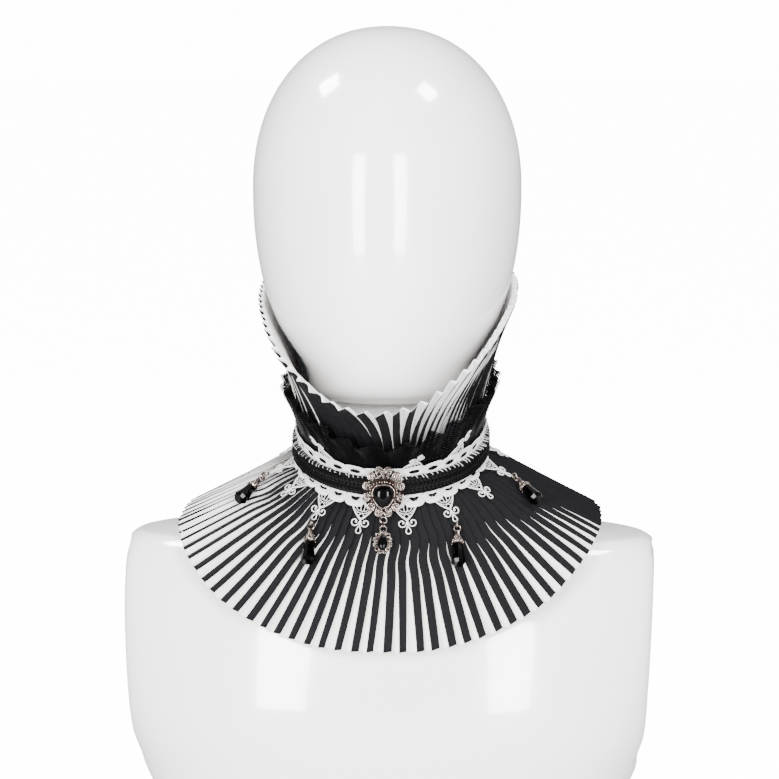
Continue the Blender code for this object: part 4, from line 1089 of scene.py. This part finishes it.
def cut_stone(centre, normal, radius, height, sides=8, stretch=1.0, lean=0.0):
    """Faceted glass: a girdle of radius r, a table at 0.55 r turned half a step, no back."""
    normal = unit(np.asarray(normal, float))
    first = unit(np.cross(normal, (1.0, 0.0, 0.0)))
    second = np.cross(normal, first)
    first, second = (first * math.cos(lean) + second * math.sin(lean),
                     second * math.cos(lean) - first * math.sin(lean))
    k = np.arange(sides)
    rows = []
    for scale, up, shift in ((1.0, -0.3, 0.0), (1.0, 0.15, 0.0), (0.56, 1.0, 0.5)):
        turn = 2 * math.pi * (k + shift)[:, None] / sides
        rows.append(np.asarray(centre) + radius * scale * (first * stretch * np.cos(turn)
                                                           + second * np.sin(turn))
                    + normal * height * up)
    after = (k + 1) % sides
    faces = np.stack([k, after, after + sides, k + sides], axis=-1).tolist()
    a = np.stack([k + sides, after + sides, k + 2 * sides], axis=-1)
    b = np.stack([after + sides, after + 2 * sides, k + 2 * sides], axis=-1)
    faces += a.tolist() + b.tolist() + [k[::-1].tolist(), (k + 2 * sides).tolist()]
    points = np.concatenate(rows)
    return points, faces, np.zeros((len(points), 2))


def crystal():
    """Foil-backed glass: flat facets that catch the lights, faintly warm. Its colour is painted in
    random cells of near black and near white: painted glints and painted dark reflections.
    """
    made, tree, shader = principled("foiled_glass", (0.80, 0.77, 0.75), 0.06, Metallic=1.0,
                                    Coat_Weight=1.0, Coat_Roughness=0.02)
    place = node(tree, "ShaderNodeTexCoord").outputs["Object"]
    painted_glint_cells = node(tree, "ShaderNodeTexVoronoi", {"Vector": place, "Scale": 900.0})
    split = node(tree, "ShaderNodeSeparateColor", {"Color": painted_glint_cells.outputs["Color"]})
    # Painted glints and dark reflections: each cell is near black or near white.
    join(tree, shader, Base_Color=mixed(tree, split.outputs[0], (0.08, 0.06, 0.05, 1),
                                        (0.85, 0.82, 0.80, 1)))
    return made


def black_glass():
    """Opaque black glass with a wet gloss."""
    made, tree, shader = principled("black_glass", (0.0004, 0.0004, 0.0005), 0.06,
                                    Specular_IOR_Level=0.10)
    join(tree, shader, Roughness=spread(tree, noise(tree, 160.0, 2.0), 0.03, 0.10))
    return made


crystal_glass, jet = crystal(), black_glass()
plate_rows = ((0.90, 0.0), (0.95, 0.0004), (0.93, 0.0009), (0.72, 0.0013), (0.69, 0.0024),
              (0.60, 0.0026), (0.56, 0.0022), (0.02, 0.0021))
shapes = [stacked(lobed(BROOCH_HALF_WIDTH, BROOCH_HALF_HEIGHT, 12, 96, 0.03), plate_rows,
                  brooch_place)]
disc = np.cos(full_turn(24)), np.sin(full_turn(24))
shapes.append(stacked(disc, ((POST_RADIUS, -0.0021), (POST_RADIUS, 0.0006)), brooch_place))
stones = []
# Wire loops round the edge, each with a smaller loop and a stone or a pearl in it
for k, turn in enumerate(full_turn(LOOPS) + math.pi / LOOPS):
    x = (BROOCH_HALF_WIDTH - LOOP_INSET) * math.cos(turn)
    z = (BROOCH_HALF_HEIGHT - LOOP_INSET) * math.sin(turn)
    at = brooch_place(x, 0.0016, z)
    raised = at + brooch_face * LOOP_LIFT
    shapes.append(hoop(at, brooch_face, 0.0021, 0.00038))
    shapes.append(hoop(raised, brooch_face, 0.0012, 0.00026, around=14, sides=6))
    if k % 3 == 1:
        stones.append(cut_stone(raised, brooch_face, 0.00105, 0.0009))
    else:
        shapes.append(ball(raised, 0.00062, brooch_face))
    outer_at = brooch_place(x * 1.17, 0.0009, z * 1.13)
    shapes.append(ball(outer_at, 0.00068, brooch_face))
# A pearled ring, a ring of stones above and pearls below, and a row of stones over the top
ring_x, ring_z = soft_triangle(0.0077, 0.0084, 30)
for x, z in zip(ring_x, ring_z - STONE_DROP):
    shapes.append(ball(brooch_place(x, 0.0030, z), 0.00058, brooch_face))
ring_x, ring_z = soft_triangle(0.0092, 0.0101, 20)
for k, (x, z) in enumerate(zip(ring_x, ring_z - 0.5 * STONE_DROP)):
    if z > -0.004:
        stones.append(cut_stone(brooch_place(x, 0.0026, z), brooch_face, 0.00098, 0.0010,
                                lean=0.5 * k))
    else:
        shapes.append(ball(brooch_place(x, 0.0024, z), 0.0008, brooch_face, flat=0.7))
for k in range(7):
    turn = math.radians(42 + 16 * k)
    stones.append(cut_stone(brooch_place(0.0082 * math.cos(turn), 0.0030, 0.0094 * math.sin(turn)),
                            brooch_face, 0.00105, 0.0011, lean=0.4 * k))
collar_x, collar_z = soft_triangle(0.0063, 0.0067, 60)
shapes.append(tube(brooch_place(collar_x, 0.0031, collar_z - STONE_DROP), brooch_face, 0.00042,
                   0.0007, closed=True))
# The crest is six pearls round a stone, beside a larger stone and two loops
crest = brooch_place(0.0003, 0.0036, 0.0119)
for turn in full_turn(6) + 0.3:
    at = crest + 0.00115 * (np.array([1.0, 0.0, 0.0]) * math.cos(turn)
                            + np.array([0.0, 0.0, 1.0]) * math.sin(turn))
    shapes.append(ball(at, 0.00058, brooch_face, flat=0.8))
stones.append(cut_stone(crest + brooch_face * LOOP_LIFT, brooch_face, 0.0008, 0.0007))
stones.append(cut_stone(brooch_place(0.0032, 0.0030, 0.0101), brooch_face, 0.0013, 0.0012))
shapes.append(hoop(brooch_place(-0.0026, 0.0030, 0.0102), brooch_face, 0.0015, 0.0003,
                   squash=0.7))
shapes.append(hoop(brooch_place(0.0086, 0.0026, 0.0071), brooch_face, 0.0019, 0.00042))
stones.append(cut_stone(brooch_place(0.0086, 0.0028, 0.0071), brooch_face, 0.0012, 0.0010))
foot = BROOCH_HALF_HEIGHT * (1.0 + LOBE_SHARE)
loop_centre = brooch_place(0.0, LOOP_FORWARD, -foot - RING_MAJOR + LUG_OVERLAP)
shapes.append(hoop(loop_centre, (0.0, 1.0, 0.0), RING_MAJOR, RING_WIRE, around=28))
stones.append(cut_stone(brooch_place(0.0030, 0.0022, -0.0122), brooch_face, 0.0009, 0.0009,
                        stretch=1.9, lean=0.9))
# The plate and the post take the brownish black silver: painted shade of the hollows, with tarnish.
mount = put_all("brooch_mount", shapes, [shade_and_tarnish_silver, silver], ground=2)
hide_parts("brooch_frame")
brilliants = put_all("brooch_crystals", stones, [crystal_glass], smooth=False)
cabochon = put_all("brooch_cabochon", [
    dome(soft_triangle(0.0057, 0.0060, 72), 0.0025, 0.0050,
         lambda x, f, z: brooch_place(x, f, z - STONE_DROP), 14),
    dome(lobed(0.0012, 0.0008, 1, 24, 0.0), 0.0030, 0.0012,
         lambda x, f, z: brooch_place(x - 0.0026, f, z + 0.0102), 7)], [jet])
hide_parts("brooch_stone")

# Pendant. An oval drop on one link: a cast frame of leaf-shaped settings with clear stones at
# the sides and the foot, round a pear-shaped black cabochon.
PENDANT_HALF_WIDTH, PENDANT_HALF_HEIGHT, PENDANT_SET_BACK = 0.0054, 0.0067, 0.0008
SETTINGS, SETTING_INSET, SET_WITH_STONES = 12, 0.0009, (0, 2, 3, 5, 6, 8, 9, 11)


def surface_lean(angle, down):
    """Angle of the flounce from the vertical at one place."""
    step = flounce_base(angle, down + 0.001) - flounce_base(angle, down - 0.001)
    return math.atan2(math.hypot(step[0], step[1]), -step[2])


lean = surface_lean(0.0, 0.024)
hang = np.array([0.0, -math.sin(lean), -math.cos(lean)])
face = np.array([0.0, -math.cos(lean), math.sin(lean)])
pivot = loop_centre + np.array([0.0, 0.0, -RING_MAJOR])
link_centre = pivot + hang * (RING_MAJOR - 2 * RING_WIRE - SEAM)
eye = link_centre + hang * RING_STEP
pendant_centre = eye + hang * (RING_MAJOR + PENDANT_HALF_HEIGHT - LUG_OVERLAP)


def pendant_place(x, forward, z):
    """Point of the pendant's oval, with z up along it."""
    x, forward, z = np.broadcast_arrays(*(np.asarray(v, float)[..., None]
                                          for v in (x, forward, z)))
    return (pendant_centre + x * np.array([1.0, 0.0, 0.0])
            + (forward - PENDANT_SET_BACK) * face - z * hang)


link = put("pendant_ring", *hoop(link_centre, (1.0, 0.0, 0.0), RING_MAJOR, RING_WIRE,
                                 around=28)[:2], [silver], body="pendant")
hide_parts("pendant_link")
shapes = [stacked(lobed(PENDANT_HALF_WIDTH * 0.9, PENDANT_HALF_HEIGHT * 0.92, 8, 64),
                  ((0.9, 0.0), (1.0, 0.0005), (0.94, 0.0011), (0.8, 0.0015), (0.02, 0.0015)),
                  pendant_place),
          hoop(eye, face, RING_MAJOR, RING_WIRE, around=28)]
stones = []
for k, turn in enumerate(full_turn(SETTINGS) + math.pi / SETTINGS):
    x = (PENDANT_HALF_WIDTH - SETTING_INSET) * math.cos(turn)
    z = (PENDANT_HALF_HEIGHT - SETTING_INSET) * math.sin(turn)
    at = pendant_place(x, 0.0017, z)
    if k in SET_WITH_STONES:
        stones.append(cut_stone(at, face, 0.00085, 0.0010, stretch=1.7,
                                lean=-turn + math.pi / 2))
    shapes.append(hoop(at, face, 0.0011, 0.00026, around=14, sides=6))
    shapes.append(ball(pendant_place(x * 1.2, 0.0012, z * 1.12), 0.00045, face))
pear_x, pear_z = pear(0.0033, 0.0052, 60)
shapes.append(tube(pendant_place(pear_x, 0.0018, pear_z), face, 0.00032, 0.0004, closed=True))
# The frame's plate takes the brownish black silver: painted shade of the hollows, with tarnish.
setting = put_all("pendant_setting", shapes, [shade_and_tarnish_silver, silver], ground=1, body="pendant")
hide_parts("pendant_frame")
brilliants = put_all("pendant_crystals", stones, [crystal_glass], body="pendant", smooth=False)
drop_stone = put_all("pendant_cabochon", [dome(pear(0.0031, 0.00495, 60), 0.0016, 0.0027,
                                               pendant_place, 12)], [jet], body="pendant")
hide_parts("pendant_stone")

# Drop beads. From four lace points hang one or two silver links, a stamped filigree cap and a
# moulded black glass bead: a ten-sided cone, wider below, with a bevelled foot.
CAP_LENGTH, CAP_RADIUS, CAP_OVERLAP = 0.0082, 0.0036, 0.0003
BEAD_LENGTH, BEAD_TOP, BEAD_BOTTOM, BEAD_SIDES = 0.0132, 0.0029, 0.0043, 10
TOP_SHARE, END_SHARE = 0.34, 0.62
# Where each drop starts and ends: angle and distance down the flounce, twice, and its links
DROPS = (
    ("left_front", -36.0, 0.0309, -27.0, 0.059, 1),
    ("right_front", 36.0, 0.0309, 27.5, 0.060, 1),
    ("left_side", -84.0, 0.0309, -68.0, 0.058, 2),
    ("right_side", 84.0, 0.0309, 70.5, 0.057, 1),
)
CAP_TURNED = ((0.0, 0.34), (0.10, 0.50), (0.18, 0.40), (0.30, 0.56), (0.38, 0.46), (0.60, 0.68),
              (0.82, 0.90), (0.92, 1.0), (1.0, 0.97))
CAP_RIBS, CAP_RINGS, FOLD_GROWS = 8, ((0.52, 0.00062), (0.80, 0.00088)), 0.0021
BEAD_TURNED = ((0.0, BEAD_TOP * 0.86), (0.0006, BEAD_TOP), (BEAD_LENGTH * 0.42, 0.00345),
               (BEAD_LENGTH * 0.86, BEAD_BOTTOM), (BEAD_LENGTH, BEAD_BOTTOM * 0.74))


def turned(profile, sides, start, axis, first, relief=0.0, lobes=0):
    """Body of revolution of (along, radius) rows, with an optional cosine relief of lobes."""
    along, radius = np.array(profile).T
    turn = full_turn(sides)
    swell = radius[:, None] * (1 + relief * np.cos(lobes * turn)[None, :])
    points = (start + along[:, None, None] * axis
              + swell[..., None] * (first * np.cos(turn)[:, None]
                                    + np.cross(axis, first) * np.sin(turn)[:, None])[None])
    return (points.reshape(-1, 3), capped(len(profile), sides),
            np.zeros((len(profile) * sides, 2)))


for name, top_deg, top_down, end_deg, end_down, links in DROPS:
    top, _ = on_flounce(math.radians(top_deg), top_down,
                        FOLD_AT_NECK + FOLD_GROWS * TOP_SHARE + RING_MAJOR + RING_WIRE + 2 * SEAM)
    end, normal = on_flounce(math.radians(end_deg), end_down,
                             FOLD_AT_NECK + FOLD_GROWS * END_SHARE + BEAD_BOTTOM + 2 * SEAM)
    axis = unit(end - top)
    side = unit(np.cross(axis, normal))
    front = np.cross(side, axis)
    body = f"drop_{name}"
    centre = top + axis * (RING_MAJOR + RING_WIRE + SEAM)
    shapes, stood_for = [], []
    for k in range(links):
        opening = side if (links - k) % 2 else front
        shapes.append(hoop(centre, opening, RING_MAJOR, RING_WIRE, around=24))
        stood_for.append(f"{body}_link_{k + 1}")
        centre = centre + axis * RING_STEP
    shapes.append(hoop(centre, front, RING_MAJOR, RING_WIRE, around=24))
    base = centre + axis * (RING_MAJOR - CAP_OVERLAP)
    profile = [(a * CAP_LENGTH, r * CAP_RADIUS * 0.90) for a, r in CAP_TURNED]
    shapes.append(turned(profile, 48, base, axis, front, 0.05, CAP_RIBS))
    for turn in full_turn(CAP_RIBS) + math.pi / CAP_RIBS:
        out = front * math.cos(turn) + np.cross(axis, front) * math.sin(turn)
        for share, ring in CAP_RINGS:
            radius = np.interp(share, *np.array(CAP_TURNED).T) * CAP_RADIUS * 0.92
            at = base + axis * CAP_LENGTH * share + out * radius
            shapes.append(hoop(at, out - axis * 0.45, ring, 0.00022, around=12, sides=6))
        shapes.append(ball(base + axis * CAP_LENGTH * 0.975 + out * CAP_RADIUS * 0.93, 0.00042,
                           out, rings=5, sides=6))
    metal = put_all(f"{body}_metal", shapes, [silver], body=body)
    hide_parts(f"{body}_cap", *stood_for)
    cone = turned(BEAD_TURNED, BEAD_SIDES, base + axis * (CAP_LENGTH + SEAM), axis, front)
    bead = put_all(f"{body}_glass", [cone], [jet], body=body, smooth=False)
    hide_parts(f"{body}_bead")

# Studio. A white floor, a camera in front and a little above, two tall soft boxes either side
# of it, two soft boxes overhead and an even white surround.
PICTURE, LENS_PIXELS, SENSOR, FLOOR_HALF = 779, 3412.0, 36.0, 9.0
CAMERA_AZIMUTH, CAMERA_ELEVATION, CAMERA_DISTANCE = math.radians(4.0), math.radians(8.0), 2.0
AIM = Vector((-0.0009, 0.0, 0.260))

view = bpy.data.cameras.new("camera")
view.sensor_width = SENSOR
view.lens = LENS_PIXELS * SENSOR / PICTURE
view.clip_end = 30.0
camera = bpy.data.objects.new("camera", view)
bpy.context.scene.collection.objects.link(camera)
toward = Vector((math.sin(CAMERA_AZIMUTH) * math.cos(CAMERA_ELEVATION),
                 -math.cos(CAMERA_AZIMUTH) * math.cos(CAMERA_ELEVATION),
                 math.sin(CAMERA_ELEVATION)))
camera.location = AIM + toward * CAMERA_DISTANCE
camera.rotation_euler = toward.to_track_quat("Z", "Y").to_euler()
bpy.context.scene.camera = camera

floor_mesh = bpy.data.meshes.new("floor")
floor_mesh.from_pydata([(x * FLOOR_HALF, y * FLOOR_HALF, 0.0)
                        for x, y in ((-1, -1), (1, -1), (1, 1), (-1, 1))], [], [(0, 1, 2, 3)])
floor = bpy.data.objects.new("floor", floor_mesh)
bpy.context.scene.collection.objects.link(floor)
SURROUND, SEEN_SURROUND, SEEN_FLOOR = 0.75, 14.0, 14.0
paper, paper_tree, paper_shader = principled("studio_floor", (0.60, 0.60, 0.60), 0.9,
                                             Emission_Color=(1.0, 1.0, 1.0, 1.0))
seen = node(paper_tree, "ShaderNodeLightPath").outputs["Is Camera Ray"]
join(paper_tree, paper_shader, Emission_Strength=maths(paper_tree, "MULTIPLY", seen, SEEN_FLOOR))
floor_mesh.materials.append(paper)


def soft_box(name, place, aim, width, height, watts):
    """Rectangular area light that faces a point."""
    light = bpy.data.lights.new(name, "AREA")
    light.shape = "RECTANGLE"
    light.size, light.size_y, light.energy = width, height, watts
    lamp = bpy.data.objects.new(name, light)
    lamp.location = place
    lamp.rotation_euler = (Vector(place) - Vector(aim)).to_track_quat("Z", "Y").to_euler()
    bpy.context.scene.collection.objects.link(lamp)


soft_box("box_left", (-0.60, -1.62, 0.55), (0, 0, 0.25), 0.36, 0.95, 70.0)
soft_box("box_right", (0.58, -1.60, 0.55), (0, 0, 0.25), 0.36, 0.95, 66.0)
soft_box("top_left", (-0.80, 0.10, 1.40), (0, 0, 0.35), 0.30, 0.30, 26.0)
soft_box("top_right", (0.75, -0.15, 1.55), (0, 0, 0.35), 0.30, 0.30, 26.0)

world = bpy.data.worlds.new("surround")
bpy.context.scene.world = world
world.use_nodes = True
surround = world.node_tree.nodes["Background"]
surround.inputs["Color"].default_value = (1.0, 1.0, 1.0, 1.0)
seen = node(world.node_tree, "ShaderNodeLightPath").outputs["Is Camera Ray"]
join(world.node_tree, surround,
     Strength=maths(world.node_tree, "MULTIPLY_ADD", seen, SEEN_SURROUND, SURROUND))
